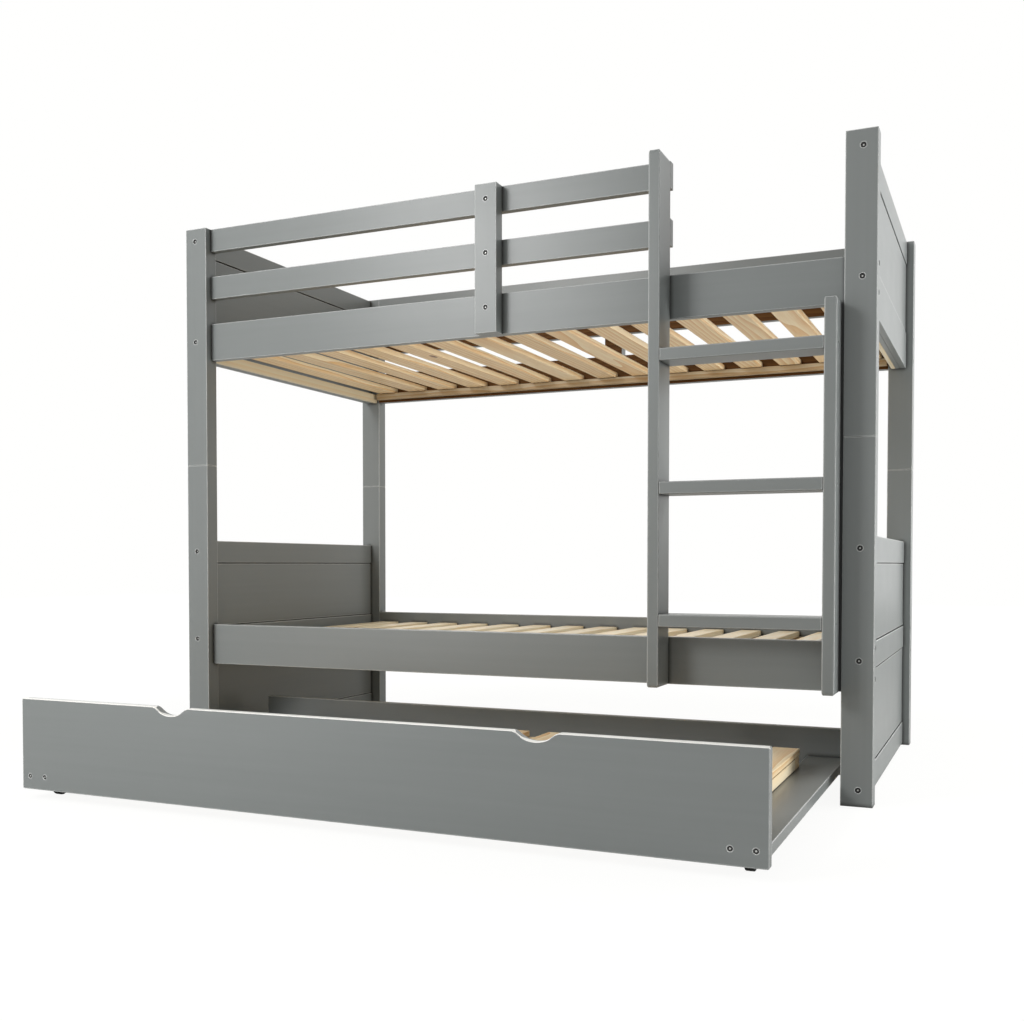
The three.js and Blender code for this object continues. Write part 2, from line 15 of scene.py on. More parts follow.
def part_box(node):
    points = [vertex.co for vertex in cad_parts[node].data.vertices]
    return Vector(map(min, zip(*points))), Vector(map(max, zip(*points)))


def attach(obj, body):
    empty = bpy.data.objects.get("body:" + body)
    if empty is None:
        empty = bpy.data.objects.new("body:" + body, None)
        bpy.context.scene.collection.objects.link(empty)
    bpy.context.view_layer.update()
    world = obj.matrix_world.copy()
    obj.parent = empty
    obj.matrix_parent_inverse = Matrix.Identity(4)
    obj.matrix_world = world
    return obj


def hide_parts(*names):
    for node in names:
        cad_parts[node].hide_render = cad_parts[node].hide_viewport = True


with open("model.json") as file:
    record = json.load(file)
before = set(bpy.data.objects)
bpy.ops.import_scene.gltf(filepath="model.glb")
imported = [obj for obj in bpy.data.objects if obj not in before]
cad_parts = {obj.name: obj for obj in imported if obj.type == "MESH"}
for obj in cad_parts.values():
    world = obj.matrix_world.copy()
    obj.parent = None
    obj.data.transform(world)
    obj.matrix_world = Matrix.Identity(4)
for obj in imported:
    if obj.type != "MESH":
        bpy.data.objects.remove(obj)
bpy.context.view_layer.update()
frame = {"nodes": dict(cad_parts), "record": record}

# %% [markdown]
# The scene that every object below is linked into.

scene = bpy.context.scene

# %% [markdown]
# The camera stands low, in front of the ladder, and looks a little left. Its place and turn were worked out
# from straight edges of the bed. A small vertical shift keeps the posts upright, as an architectural
# photographer's lens does, where tilting the camera would make them lean.

# %% Camera
MM = 0.001
PICTURE_WIDTH = 1024
PICTURE_HEIGHT = 1021
CAMERA_PLACE = Vector((1.34686, -3.02958, 0.59309))
CAMERA_TURN_LEFT = math.radians(24.094)
CAMERA_TILT = math.radians(-1.556)
CAMERA_ROLL = math.radians(-0.027)
FOCAL_PIXELS = 1128.8
AXIS_X = 509.13
AXIS_Y = 594.66
SENSOR = 36.0
RIGHT_ANGLE = math.radians(90)


def linked_object(name, data):
    """A new object in the scene"""
    item = bpy.data.objects.new(name, data)
    scene.collection.objects.link(item)
    return item


camera_data = bpy.data.cameras.new("camera")
camera_data.sensor_width = SENSOR
camera_data.lens = FOCAL_PIXELS / PICTURE_WIDTH * SENSOR
camera_data.shift_x = (PICTURE_WIDTH / 2 - AXIS_X) / PICTURE_WIDTH
camera_data.shift_y = (AXIS_Y - PICTURE_HEIGHT / 2) / PICTURE_WIDTH
camera = linked_object("camera", camera_data)
camera.location = CAMERA_PLACE
camera.rotation_euler = (RIGHT_ANGLE + CAMERA_TILT, CAMERA_ROLL, CAMERA_TURN_LEFT)
scene.camera = camera
print("lens", round(camera_data.lens, 2), "mm, shift", round(camera_data.shift_y, 4))

# %% [markdown]
# Every tree below is built with the same few helpers. An input takes either a plain value or another
# node's output, and the helper tells them apart, so that each step of a tree reads like a formula.

# %% Node helpers
def set_inputs(tree, node, inputs):
    """Fills inputs by name or number: an output is wired to its input, anything else becomes its value"""
    for key, value in inputs.items():
        if isinstance(value, bpy.types.NodeSocket):
            tree.links.new(value, node.inputs[key])
        else:
            node.inputs[key].default_value = value


def add_node(tree, kind, inputs=None, **settings):
    """A new node with its settings and its inputs"""
    node = tree.nodes.new(kind)
    for name, value in settings.items():
        setattr(node, name, value)
    set_inputs(tree, node, inputs or {})
    return node


def calculated(tree, operation, *values, clamp=False):
    """The result of a Math node"""
    node = add_node(tree, "ShaderNodeMath", dict(enumerate(values)), operation=operation, use_clamp=clamp)
    return node.outputs[0]


def vector_math(tree, operation, *values):
    """The result of a Vector Math node"""
    node = add_node(tree, "ShaderNodeVectorMath", dict(enumerate(values)), operation=operation)
    return node.outputs["Value" if operation in ("DOT_PRODUCT", "LENGTH") else "Vector"]


def ranged(tree, value, interpolation="LINEAR", **limits):
    """A value brought from one range to another: from_min, from_max, to_min and to_max"""
    inputs = {label.replace("_", " ").title(): limit for label, limit in limits.items()}
    node = add_node(tree, "ShaderNodeMapRange", {"Value": value, **inputs}, interpolation_type=interpolation)
    return node.outputs["Result"]


def split_axes(tree, vector):
    """The X, Y and Z outputs of a vector"""
    return add_node(tree, "ShaderNodeSeparateXYZ", {"Vector": vector}).outputs


def joined_axes(tree, **parts):
    """A vector from its X, Y and Z"""
    return add_node(tree, "ShaderNodeCombineXYZ", parts).outputs[0]


print("helpers ready")

# %% [markdown]
# Light. The key lamp stands high at the front left, where the guard upright mirrors it, and two more fill the
# front faces from higher up and from low down. Two lamps on the right light the open end. The world
# is white to the camera and in reflections, because satin paint seen at a low angle mirrors its
# surroundings. For diffuse light it is weaker, and a little stronger from above, so that the inner faces keep
# their depth.

# %% World and lamps
AIM = Vector((0.0, 0.0, 0.8))
STUDIO_WHITE = (1.0, 1.0, 0.992, 1.0)
WORLD_ALL_ROUND = 0.34
WORLD_SIDES = {"above": ((0.0, 0.0, 1.0), 0.24), "left": ((-1.0, 0.0, 0.0), 0.06)}
LAMPS = {
    "key_lamp": {"place": (-1.6, -3.4, 2.45), "size": 1.1, "power": 54.0},
    "high_lamp": {"place": (-2.4, -2.6, 3.6), "size": 1.4, "power": 29.0},
    "low_front_lamp": {"place": (-2.6, -4.4, 0.6), "size": 1.6, "power": 32.0},
    "right_lamp": {"place": (3.4, 0.3, 0.5), "size": 1.0, "power": 42.0},
    "right_high_lamp": {"place": (3.2, 1.2, 2.0), "size": 1.0, "power": 26.0},
}


def make_world():
    world = bpy.data.worlds.new("white_studio")
    world.use_nodes = True
    tree = world.node_tree
    direction = add_node(tree, "ShaderNodeTexCoord").outputs["Generated"]
    total = WORLD_ALL_ROUND
    for axis, amount in WORLD_SIDES.values():
        lit = calculated(tree, "MAXIMUM", vector_math(tree, "DOT_PRODUCT", direction, axis), 0.0)
        total = calculated(tree, "ADD", calculated(tree, "MULTIPLY", lit, amount), total)
    path = add_node(tree, "ShaderNodeLightPath").outputs
    seen = calculated(tree, "MAXIMUM", path["Is Camera Ray"], path["Is Glossy Ray"])
    seen = calculated(tree, "MAXIMUM", seen, path["Is Transmission Ray"])
    strength = ranged(tree, seen, to_min=total, to_max=1.0)
    set_inputs(tree, tree.nodes["Background"], {"Strength": strength, "Color": STUDIO_WHITE})
    scene.world = world


def area_lamp(name, place, size, power):
    data = bpy.data.lights.new(name, "AREA")
    data.shape = "SQUARE"
    data.size = size
    data.energy = power
    lamp = linked_object(name, data)
    lamp.location = place
    lamp.rotation_euler = (AIM - Vector(place)).to_track_quat("-Z", "Y").to_euler()
    lamp.visible_camera = False


make_world()
for name, values in LAMPS.items():
    area_lamp(name, **values)
scene.view_settings.view_transform = "Standard"

# %% [markdown]
# The floor is a pale studio sweep. It bounces light up under the slats, which is why their undersides glow.
# To the camera it is mostly plain white, with a weak trace of its own shading, so that the bed keeps a soft
# shadow without a visible horizon.

# %% Floor
FLOOR_REACH = 14.0
FLOOR_COLOUR = (0.82, 0.815, 0.8, 1.0)
FLOOR_GLOW = 1.05
SHADOW_SHARE = 0.12
SHADOW_FROM = 1.6
SHADOW_TO = 3.6


def make_floor():
    mesh = bpy.data.meshes.new("studio_floor")
    signs = ((-1, -1), (1, -1), (1, 1), (-1, 1))
    mesh.from_pydata([(x * FLOOR_REACH, y * FLOOR_REACH, 0) for x, y in signs], [], [(0, 1, 2, 3)])
    floor = linked_object("studio_floor", mesh)
    material = bpy.data.materials.new("studio_floor")
    material.use_nodes = True
    tree = material.node_tree
    tree.nodes.clear()
    shaded = add_node(tree, "ShaderNodeBsdfDiffuse", {"Color": FLOOR_COLOUR}).outputs["BSDF"]
    glow = {"Color": STUDIO_WHITE, "Strength": FLOOR_GLOW}
    white = add_node(tree, "ShaderNodeEmission", glow).outputs["Emission"]
    reach = vector_math(tree, "LENGTH", add_node(tree, "ShaderNodeTexCoord").outputs["Object"])
    whiteness = ranged(tree, reach, "SMOOTHSTEP", from_min=SHADOW_FROM, from_max=SHADOW_TO,
                       to_min=1.0 - SHADOW_SHARE)
    seen = add_node(tree, "ShaderNodeLightPath").outputs["Is Camera Ray"]
    share = calculated(tree, "MULTIPLY", seen, whiteness)
    mix = add_node(tree, "ShaderNodeMixShader", {0: share, 1: shaded, 2: white}).outputs["Shader"]
    add_node(tree, "ShaderNodeOutputMaterial", {"Surface": mix})
    mesh.materials.append(material)


make_floor()
print("floor", FLOOR_REACH * 2, "m square")

# %% [markdown]
# Effects that several finishes share are node groups. This first one is the fine skin of a sprayed or
# planed surface: a very shallow ripple for the Height of a bump, and a roughness that wanders a little, so
# that highlights break up instead of lying on the wood like glass.

# %% Fine surface group
VALUE = "NodeSocketFloat"
COLOUR = "NodeSocketColor"
VECTOR = "NodeSocketVector"
RIPPLE_DETAIL = 3.0
CLOUD_SCALE = 9.0
CLOUD_DETAIL = 4.0
CLOUD_MIDDLE = 0.5


def new_group(name, inputs, outputs):
    """An empty shader node group from (name, kind, value) rows, with its inputs and its output node"""
    tree = bpy.data.node_groups.new(name, "ShaderNodeTree")
    for label, kind, value in inputs:
        socket = tree.interface.new_socket(label, in_out="INPUT", socket_type=kind)
        socket.default_value = value
    for label, kind in outputs:
        tree.interface.new_socket(label, in_out="OUTPUT", socket_type=kind)
    return tree, tree.nodes.new("NodeGroupInput").outputs, tree.nodes.new("NodeGroupOutput")


def noise(tree, place, scale, detail):
    """The cloudy pattern of a Noise Texture"""
    node = add_node(tree, "ShaderNodeTexNoise", {"Scale": scale, "Detail": detail, "Vector": place})
    return node.outputs["Fac"]


def fine_surface_group():
    tree, given, result = new_group(
        "fine_surface",
        [("Coordinate", VECTOR, (0, 0, 0)), ("Scale", VALUE, 400.0), ("Roughness", VALUE, 0.4),
         ("Spread", VALUE, 0.1)],
        [("Roughness", VALUE), ("Height", VALUE)])
    ripple = noise(tree, given["Coordinate"], given["Scale"], RIPPLE_DETAIL)
    cloud = noise(tree, given["Coordinate"], CLOUD_SCALE, CLOUD_DETAIL)
    centred = calculated(tree, "SUBTRACT", cloud, CLOUD_MIDDLE)
    spread = calculated(tree, "MULTIPLY", centred, given["Spread"])
    rough = calculated(tree, "ADD", spread, given["Roughness"])
    set_inputs(tree, result, {"Roughness": rough, "Height": ripple})
    return tree


FINE_SURFACE = fine_surface_group()
print("group", FINE_SURFACE.name)

# %% [markdown]
# Paint draws back from a rounded edge as it dries, and hands polish it there. On top of that, the near-white
# edge colour is a painted highlight for the light that rounded edges catch. The Bevel node gives the normal
# that the surface would have if its edges were rounder still. Where it parts from the true normal there is an
# edge, and their difference makes a mask. Edges that look down get less of the mask, as they are rubbed less
# and catch less light from above.

# %% Worn and highlighted edge group
BEVEL_SAMPLES = 4
PATCH_SCALE = 14.0
PATCH_DETAIL = 3.0
PATCH_SWING = 0.7
PATCH_LEAST = 0.65
LOOKS_DOWN = -0.5
LOOKS_ASIDE = -0.05
UNDERSIDE_WEAR_AND_LIGHT = 0.1


def edge_wear_and_highlight_group():
    tree, given, result = new_group(
        "edge_wear_and_highlight",
        [("Reach", VALUE, 0.003), ("Strength", VALUE, 4.0), ("Coordinate", VECTOR, (0, 0, 0))],
        [("Mask", VALUE)])
    rounder = add_node(tree, "ShaderNodeBevel", {"Radius": given["Reach"]}, samples=BEVEL_SAMPLES)
    normal = add_node(tree, "ShaderNodeNewGeometry").outputs["Normal"]
    agreement = vector_math(tree, "DOT_PRODUCT", rounder.outputs["Normal"], normal)
    parting = calculated(tree, "SUBTRACT", 1.0, agreement)
    stronger = calculated(tree, "MULTIPLY", parting, given["Strength"])
    patches = noise(tree, given["Coordinate"], PATCH_SCALE, PATCH_DETAIL)
    patch_share = calculated(tree, "ADD", calculated(tree, "MULTIPLY", patches, PATCH_SWING), PATCH_LEAST)
    broken = calculated(tree, "MULTIPLY", stronger, patch_share)
    # Edges that look down get less of the mask, as they catch less light from above and are rubbed less
    touched_and_lit = ranged(tree, split_axes(tree, normal)["Z"], from_min=LOOKS_DOWN, from_max=LOOKS_ASIDE,
                     to_min=UNDERSIDE_WEAR_AND_LIGHT, to_max=1.0)
    set_inputs(tree, result, {"Mask": calculated(tree, "MULTIPLY", broken, touched_and_lit, clamp=True)})
    return tree


EDGE_WEAR_AND_HIGHLIGHT = edge_wear_and_highlight_group()
print("group", EDGE_WEAR_AND_HIGHLIGHT.name)

# %% [markdown]
# Where two boards meet there is a hairline gap that light hardly enters. This group paints that shade into
# the colour. An Ambient Occlusion node measures how much of the near space above a point is open, and used as
# a mask with a short reach it darkens joints, holes and slots with painted shade and leaves the faces alone.

# %% Corner shade group
OPENNESS_SAMPLES = 6


def corner_shade_group():
    tree, given, result = new_group(
        "corner_shade", [("Reach", VALUE, 0.01), ("Strength", VALUE, 1.3)], [("Mask", VALUE)])
    open_share = add_node(tree, "ShaderNodeAmbientOcclusion", {"Distance": given["Reach"]},
                          samples=OPENNESS_SAMPLES).outputs["AO"]
    closed = calculated(tree, "SUBTRACT", 1.0, open_share)
    set_inputs(tree, result, {"Mask": calculated(tree, "MULTIPLY", closed, given["Strength"], clamp=True)})
    return tree


CORNER_SHADE = corner_shade_group()
print("group", CORNER_SHADE.name)

# %% [markdown]
# Pine shows growth rings as long bands along the board, in soft pale early wood and darker late wood, with
# fine fibres between them and a knot here and there. A wave pattern drawn out along the grain and bent by
# noise gives the rings. Each slat has its own tone and its own place in the pattern, so no two match.

# %% Wood grain group
BEND_SCALES = (9.0, 0.9, 9.0)
BEND_DETAIL = 2.0
BEND_REACH = 0.055
RING_SCALES = (1.0, 0.06, 1.0)
RINGS = {"Scale": 22.0, "Distortion": 1.4, "Detail": 2.0, "Detail Scale": 0.6}
RING_SHARE = 0.7
FIBRE_SCALES = (420.0, 9.0, 420.0)
FIBRE_DETAIL = 3.0
FIBRE_SHARE = 0.8
GRAIN_FLOOR = 0.2
KNOT_SCALES = (9.0, 3.2, 9.0)
KNOT_EDGE = 0.10
KNOT_HEART = 0.05
EARLY_ROUGHNESS = 0.34
LATE_ROUGHER = 0.14


def stretched(tree, place, scales):
    """A coordinate squeezed by a different amount along each axis"""
    return vector_math(tree, "MULTIPLY", place, scales)


def mixed(tree, mask, first, second):
    """A colour that goes from first to second by a mask"""
    # The node's colours are its inputs 6 and 7 and its output 2, the others are for numbers and vectors
    node = add_node(tree, "ShaderNodeMix", data_type="RGBA")
    set_inputs(tree, node, {0: mask, 6: first, 7: second})
    return node.outputs[2]


def wood_grain_group():
    tree, given, result = new_group(
        "wood_grain",
        [("Coordinate", VECTOR, (0, 0, 0)), ("Early wood", COLOUR, (1, 1, 1, 1)),
         ("Late wood", COLOUR, (1, 1, 1, 1)), ("Knot", COLOUR, (1, 1, 1, 1)), ("Tone", VALUE, 0.0)],
        [("Colour", COLOUR), ("Height", VALUE), ("Roughness", VALUE)])
    place = given["Coordinate"]
    bend = noise(tree, stretched(tree, place, BEND_SCALES), 1.0, BEND_DETAIL)
    sideways = calculated(tree, "MULTIPLY", bend, BEND_REACH)
    bent = vector_math(tree, "ADD", place, joined_axes(tree, X=sideways, Z=sideways))
    rings = add_node(tree, "ShaderNodeTexWave", {**RINGS, "Vector": stretched(tree, bent, RING_SCALES)},
                     wave_type="RINGS", rings_direction="Y", wave_profile="SAW").outputs["Fac"]
    fibres = noise(tree, stretched(tree, place, FIBRE_SCALES), 1.0, FIBRE_DETAIL)
    banded = calculated(tree, "ADD", calculated(tree, "MULTIPLY", rings, RING_SHARE),
                        calculated(tree, "MULTIPLY", fibres, FIBRE_SHARE))
    grain = calculated(tree, "SUBTRACT", banded, GRAIN_FLOOR, clamp=True)
    wood = mixed(tree, grain, given["Early wood"], given["Late wood"])
    knot_place = stretched(tree, place, KNOT_SCALES)
    knots = add_node(tree, "ShaderNodeTexVoronoi", {"Scale": 1.0, "Vector": knot_place}).outputs["Distance"]
    knot_mask = ranged(tree, knots, "SMOOTHSTEP", from_min=KNOT_EDGE, from_max=KNOT_HEART)
    knotted = mixed(tree, knot_mask, wood, given["Knot"])
    toned = add_node(tree, "ShaderNodeHueSaturation", {"Value": given["Tone"], "Color": knotted})
    rough = calculated(tree, "ADD", calculated(tree, "MULTIPLY", grain, LATE_ROUGHER), EARLY_ROUGHNESS)
    set_inputs(tree, result, {"Colour": toned.outputs["Color"], "Height": grain, "Roughness": rough})
    return tree


WOOD_GRAIN = wood_grain_group()
print("group", WOOD_GRAIN.name)

# %% [markdown]
# The grey paint is one colour all over, so what makes it read as painted pine is slight: long streaks where
# the grain swells under the film, a fine spray ripple, and lighter edges that are partly rubbed and partly a
# painted highlight. Its joints and holes get painted shade. The streaks run along the board, so there is one
# paint for boards along X, one along Y and one for those that stand.

# %% Grey paint
def srgb(red, green, blue):
    """A display colour from 0 to 255 as the linear colour that a socket holds"""
    def linear(value):
        share = value / 255
        return share / 12.92 if share <= 0.04045 else ((share + 0.055) / 1.055) ** 2.4
    return (linear(red), linear(green), linear(blue), 1.0)


def new_material(name):
    """A material with its tree, its shader and its Object coordinate"""
    material = bpy.data.materials.new(name)
    material.use_nodes = True
    tree = material.node_tree
    place = add_node(tree, "ShaderNodeTexCoord").outputs["Object"]
    return material, tree, tree.nodes["Principled BSDF"], place


def grouped(tree, group, inputs):
    """The outputs of a node group in a material"""
    return add_node(tree, "ShaderNodeGroup", inputs, node_tree=group).outputs


def bump(tree, height, depth):
    """The normal of a relief with the given depth in metres"""
    return add_node(tree, "ShaderNodeBump", {"Distance": depth, "Height": height}).outputs["Normal"]


PAINT = srgb(127, 131, 130)
PAINT_STREAK = srgb(121, 125, 124)
# Painted highlight: the near-white edge colour stands in for light on the rounded edges, over some real
# rubbing
PAINT_EDGE_HIGHLIGHT = srgb(236, 238, 236)
# Painted shade: the dark colour that the corner shade mask lays into joints, holes and slots
PAINT_CORNER_SHADE = srgb(34, 34, 31)
PAINT_WEAR_AND_HIGHLIGHT = {"Reach": 3.4 * MM, "Strength": 9.0}
PAINT_CORNERS = {"Reach": 12.0 * MM, "Strength": 1.6}
PAINT_SKIN = {"Scale": 420.0, "Roughness": 0.31, "Spread": 0.06}
PAINT_DEPTH = 0.04 * MM
PAINT_GLOSS = 0.4
STREAK_DETAIL = 4.0
STREAK_SWELL = 1.2
ALONG = {"x": (1.5, 60.0, 60.0), "y": (60.0, 1.5, 60.0), "z": (60.0, 60.0, 1.5)}


def grey_paint(axis):
    material, tree, shader, place = new_material("grey_paint_" + axis)
    streaks = noise(tree, stretched(tree, place, ALONG[axis]), 1.0, STREAK_DETAIL)
    body = mixed(tree, streaks, PAINT, PAINT_STREAK)
    # The edge mask lays a painted highlight on the edges, partly real rubbing
    wear_and_highlight = grouped(tree, EDGE_WEAR_AND_HIGHLIGHT, {**PAINT_WEAR_AND_HIGHLIGHT, "Coordinate": place})["Mask"]
    # Painted shade: the corner shade mask darkens joints, holes and slots
    joint = grouped(tree, CORNER_SHADE, PAINT_CORNERS)["Mask"]
    colour = mixed(tree, joint, mixed(tree, wear_and_highlight, body, PAINT_EDGE_HIGHLIGHT), PAINT_CORNER_SHADE)
    skin = grouped(tree, FINE_SURFACE, {**PAINT_SKIN, "Coordinate": place})
    relief = calculated(tree, "ADD", calculated(tree, "MULTIPLY", streaks, STREAK_SWELL), skin["Height"])
    set_inputs(tree, shader, {"Base Color": colour, "Roughness": skin["Roughness"],
                              "Normal": bump(tree, relief, PAINT_DEPTH), "Specular IOR Level": PAINT_GLOSS})
    return material


GREY_PAINT = {axis: grey_paint(axis) for axis in ALONG}
print("paints", [m.name for m in GREY_PAINT.values()])

# %% [markdown]
# The top edge of the trundle's front panel and the insides of its finger scoops get a near-white painted
# highlight, for the light that falls on faces that look up. Flat stretches are pale right across. On the
# scoops' flanks only the part next to the front face is, so the pale band's width follows the way the surface
# faces.

# %% Painted top-edge highlight
# Painted highlight: near-white for the panel's top edge, which catches the light from above
TOP_EDGE_HIGHLIGHT = srgb(244, 243, 238)
HIGHLIGHT_FLANK = 4.5 * MM
HIGHLIGHT_FLAT = 17.0 * MM
# Z of the normal where a flank ends and where a stretch counts as flat
STEEP = 0.86
LEVEL = 0.99


def lit_top_edge(front_y):
    """The panel's paint with a painted highlight along its top edge, measured back from the front face"""
    material, tree, shader, place = new_material("lit_top_edge")
    normal = add_node(tree, "ShaderNodeNewGeometry").outputs["Normal"]
    band = ranged(tree, split_axes(tree, normal)["Z"], from_min=STEEP, from_max=LEVEL,
                  to_min=HIGHLIGHT_FLANK, to_max=HIGHLIGHT_FLAT)
    depth = calculated(tree, "SUBTRACT", split_axes(tree, place)["Y"], front_y)
    colour = mixed(tree, calculated(tree, "LESS_THAN", depth, band), PAINT, TOP_EDGE_HIGHLIGHT)
    skin = grouped(tree, FINE_SURFACE, {**PAINT_SKIN, "Coordinate": place})
    set_inputs(tree, shader, {"Base Color": colour, "Roughness": skin["Roughness"],
                              "Normal": bump(tree, skin["Height"], PAINT_DEPTH)})
    return material


LIT_TOP_EDGE = lit_top_edge(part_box("trundle_front_panel")[0].y)
print("finish", LIT_TOP_EDGE.name)

# %% [markdown]
# The bare pine uses the grain group. On the slats the grain runs along Y, on battens and bearers along X,
# where the coordinate's X and Y are swapped first. Each slat carries two values from its geometry: tone, a
# little darker or lighter, and shift, its place in the pattern. The lower berth's slats, the laths across the
# ends and the trundle's end battens get a paler copy of the pine, painted light for surfaces that catch more
# light. The inner sides of three back boards, which show only through the gaps between the upper slats, get a
# dark brown pine with hardly any gloss: painted shade, with the warm light that the slats bounce onto them
# painted in.

# %% Pine
PINE_EARLY = srgb(255, 240, 204)
PINE_LATE = srgb(222, 176, 116)
PINE_KNOT = srgb(136, 92, 54)
# Painted shade: the dark colour for the pine's joints and gaps
PINE_CORNER_SHADE = srgb(62, 36, 18)
PINE_CORNERS = {"Reach": 5.0 * MM, "Strength": 1.1}
PINE_DEPTH = 0.1 * MM
PINE_GLOSS = 0.5
DULL_GLOSS = 0.05
TONE_SPREAD = 0.16


def pine(name, axis, early, late, gloss=PINE_GLOSS):
    material, tree, shader, place = new_material(name)
    split = split_axes(tree, place)
    across, along = ("Y", "X") if axis == "x" else ("X", "Y")
    turned = joined_axes(tree, X=split[across], Y=split[along], Z=split["Z"])
    shift = add_node(tree, "ShaderNodeAttribute", attribute_name="shift").outputs["Vector"]
    tone = add_node(tree, "ShaderNodeAttribute", attribute_name="tone").outputs["Fac"]
    level = calculated(tree, "ADD", calculated(tree, "MULTIPLY", tone, TONE_SPREAD), 1.0)
    grain = grouped(tree, WOOD_GRAIN, {"Coordinate": vector_math(tree, "ADD", turned, shift), "Tone": level,
                                       "Early wood": early, "Late wood": late, "Knot": PINE_KNOT})
    # Painted shade: the corner shade mask darkens the pine in joints and gaps
    joint = grouped(tree, CORNER_SHADE, PINE_CORNERS)["Mask"]
    set_inputs(tree, shader, {"Base Color": mixed(tree, joint, grain["Colour"], PINE_CORNER_SHADE),
                              "Roughness": grain["Roughness"],
                              "Normal": bump(tree, grain["Height"], PINE_DEPTH), "Specular IOR Level": gloss})
    return material


PINE = {axis: pine("pine_" + axis, axis, PINE_EARLY, PINE_LATE) for axis in ("x", "y")}
# Painted shade: a dark brown, dull copy of the pine for the back boards' inner sides, which lie in shade with
# warm light from the slats
SHADED_BACK_PINE = pine("shaded_back_pine", "x", srgb(112, 76, 40), srgb(78, 50, 24), DULL_GLOSS)
# Painted light: a paler copy of the pine for surfaces that catch more light
LIT_PINE = pine("lit_pine", "y", srgb(255, 247, 220), srgb(253, 227, 182))
print("pines", [m.name for m in PINE.values()], SHADED_BACK_PINE.name, LIT_PINE.name)

# %% [markdown]
# Metals, plastic and the dowels' beech. The bolt heads are blackened steel, whose near-black also stands in
# as painted shade for the ring of shadow round each head, with a bright centre that is a painted highlight.
# The castor forks are zinc plated, and the castor wheels are moulded in black plastic. All of them get the
# fine surface too, at the scale of brushed plate or of a mould's grain.

# %% Metal, plastic and beech
BLOTCH_SCALE = 60.0
BLOTCH_DETAIL = 4.0
BLOTCH_SHARE = 0.8


def plain_finish(name, colour, metal, rough, spread, scale, depth):
    """A finish of one colour whose roughness and relief come from the fine surface group"""
    material, tree, shader, place = new_material(name)
    darker = [BLOTCH_SHARE * part for part in colour[:3]] + [1.0]
    blotches = noise(tree, place, BLOTCH_SCALE, BLOTCH_DETAIL)
    skin = grouped(tree, FINE_SURFACE,
                   {"Scale": scale, "Roughness": rough, "Spread": spread, "Coordinate": place})
    set_inputs(tree, shader, {"Base Color": mixed(tree, blotches, colour, darker), "Metallic": metal,
                              "Roughness": skin["Roughness"], "Normal": bump(tree, skin["Height"], depth)})
    return material


# Painted shade: the near-black heads stand in for the ring of shadow round each head, on blackened steel
BLACK_SHADE_STEEL = plain_finish("black_shade_steel", srgb(20, 20, 20), 0.0, 0.6, 0.1, 900.0, 0.03 * MM)
# Painted highlight: the bright socket floor stands in for the lit centre of each head
HIGHLIGHT_STEEL = plain_finish("highlight_steel", srgb(206, 207, 203), 0.3, 0.4, 0.1, 900.0, 0.03 * MM)
ZINC = plain_finish("zinc_plate", srgb(158, 160, 160), 0.9, 0.35, 0.2, 700.0, 0.04 * MM)
BLACK_PLASTIC = plain_finish("black_plastic", srgb(36, 37, 38), 0.0, 0.5, 0.15, 1200.0, 0.05 * MM)
BEECH = plain_finish("beech", srgb(194, 154, 107), 0.0, 0.6, 0.1, 500.0, 0.1 * MM)
print("plain finishes", [m.name for m in (BLACK_SHADE_STEEL, HIGHLIGHT_STEEL, ZINC, BLACK_PLASTIC, BEECH)])

# %% [markdown]
# Every planed board is a loft: one rounded outline, repeated along the board and drawn in a little at each
# end, as a router leaves it. The same builder makes the trundle's front panel from its own outline. A loft
# keeps clean quads along the edges, where bevelling a box leaves triangles at the corners.

# %% Loft
CORNER_SIDES = 4
END_RINGS = 3
LEAST_MITER = 0.5


def rounded_outline(width, height, radius):
    """Points of a rectangle with rounded corners, from its lowest corner, counterclockwise"""
    centres = [(width - radius, radius, -90), (width - radius, height - radius, 0),
               (radius, height - radius, 90), (radius, radius, 180)]
    points = []
    for x, y, start in centres:
        for step in range(CORNER_SIDES + 1):
            angle = math.radians(start + 90 * step / CORNER_SIDES)
            points.append(Vector((x + radius * math.cos(angle), y + radius * math.sin(angle))))
    return points


def drawn_in(points, distance):
    """The outline moved inwards by a distance along its own corners"""
    moved = []
    count = len(points)
    for i, point in enumerate(points):
        before = (point - points[i - 1]).normalized()
        after = (points[(i + 1) % count] - point).normalized()
        inward_before = Vector((-before.y, before.x))
        inward_after = Vector((-after.y, after.x))
        miter = (inward_before + inward_after).normalized()
        moved.append(point + miter * (distance / max(miter.dot(inward_after), LEAST_MITER)))
    return moved


def loft(outline, length, inset, reach):
    """A closed mesh from an outline in U, V along W, rounded at both ends: inset is how far the end is drawn
    in and reach how far the rounding goes along the board"""
    rings = []
    for ring in range(END_RINGS + 1):
        angle = RIGHT_ANGLE * ring / END_RINGS
        rings.append((inset * (1 - math.sin(angle)), reach * (1 - math.cos(angle))))
    stations = rings + [(i, length - w) for i, w in reversed(rings)]
    shaped = bmesh.new()
    loops = []
    for distance, w in stations:
        loops.append([shaped.verts.new((p.x, p.y, w)) for p in drawn_in(outline, distance)])
    count = len(outline)
    for low, high in zip(loops, loops[1:]):
        for i in range(count):
            j = (i + 1) % count
            shaped.faces.new((low[i], low[j], high[j], high[i]))
    shaped.faces.new(list(reversed(loops[0])))
    shaped.faces.new(loops[-1])
    return shaped


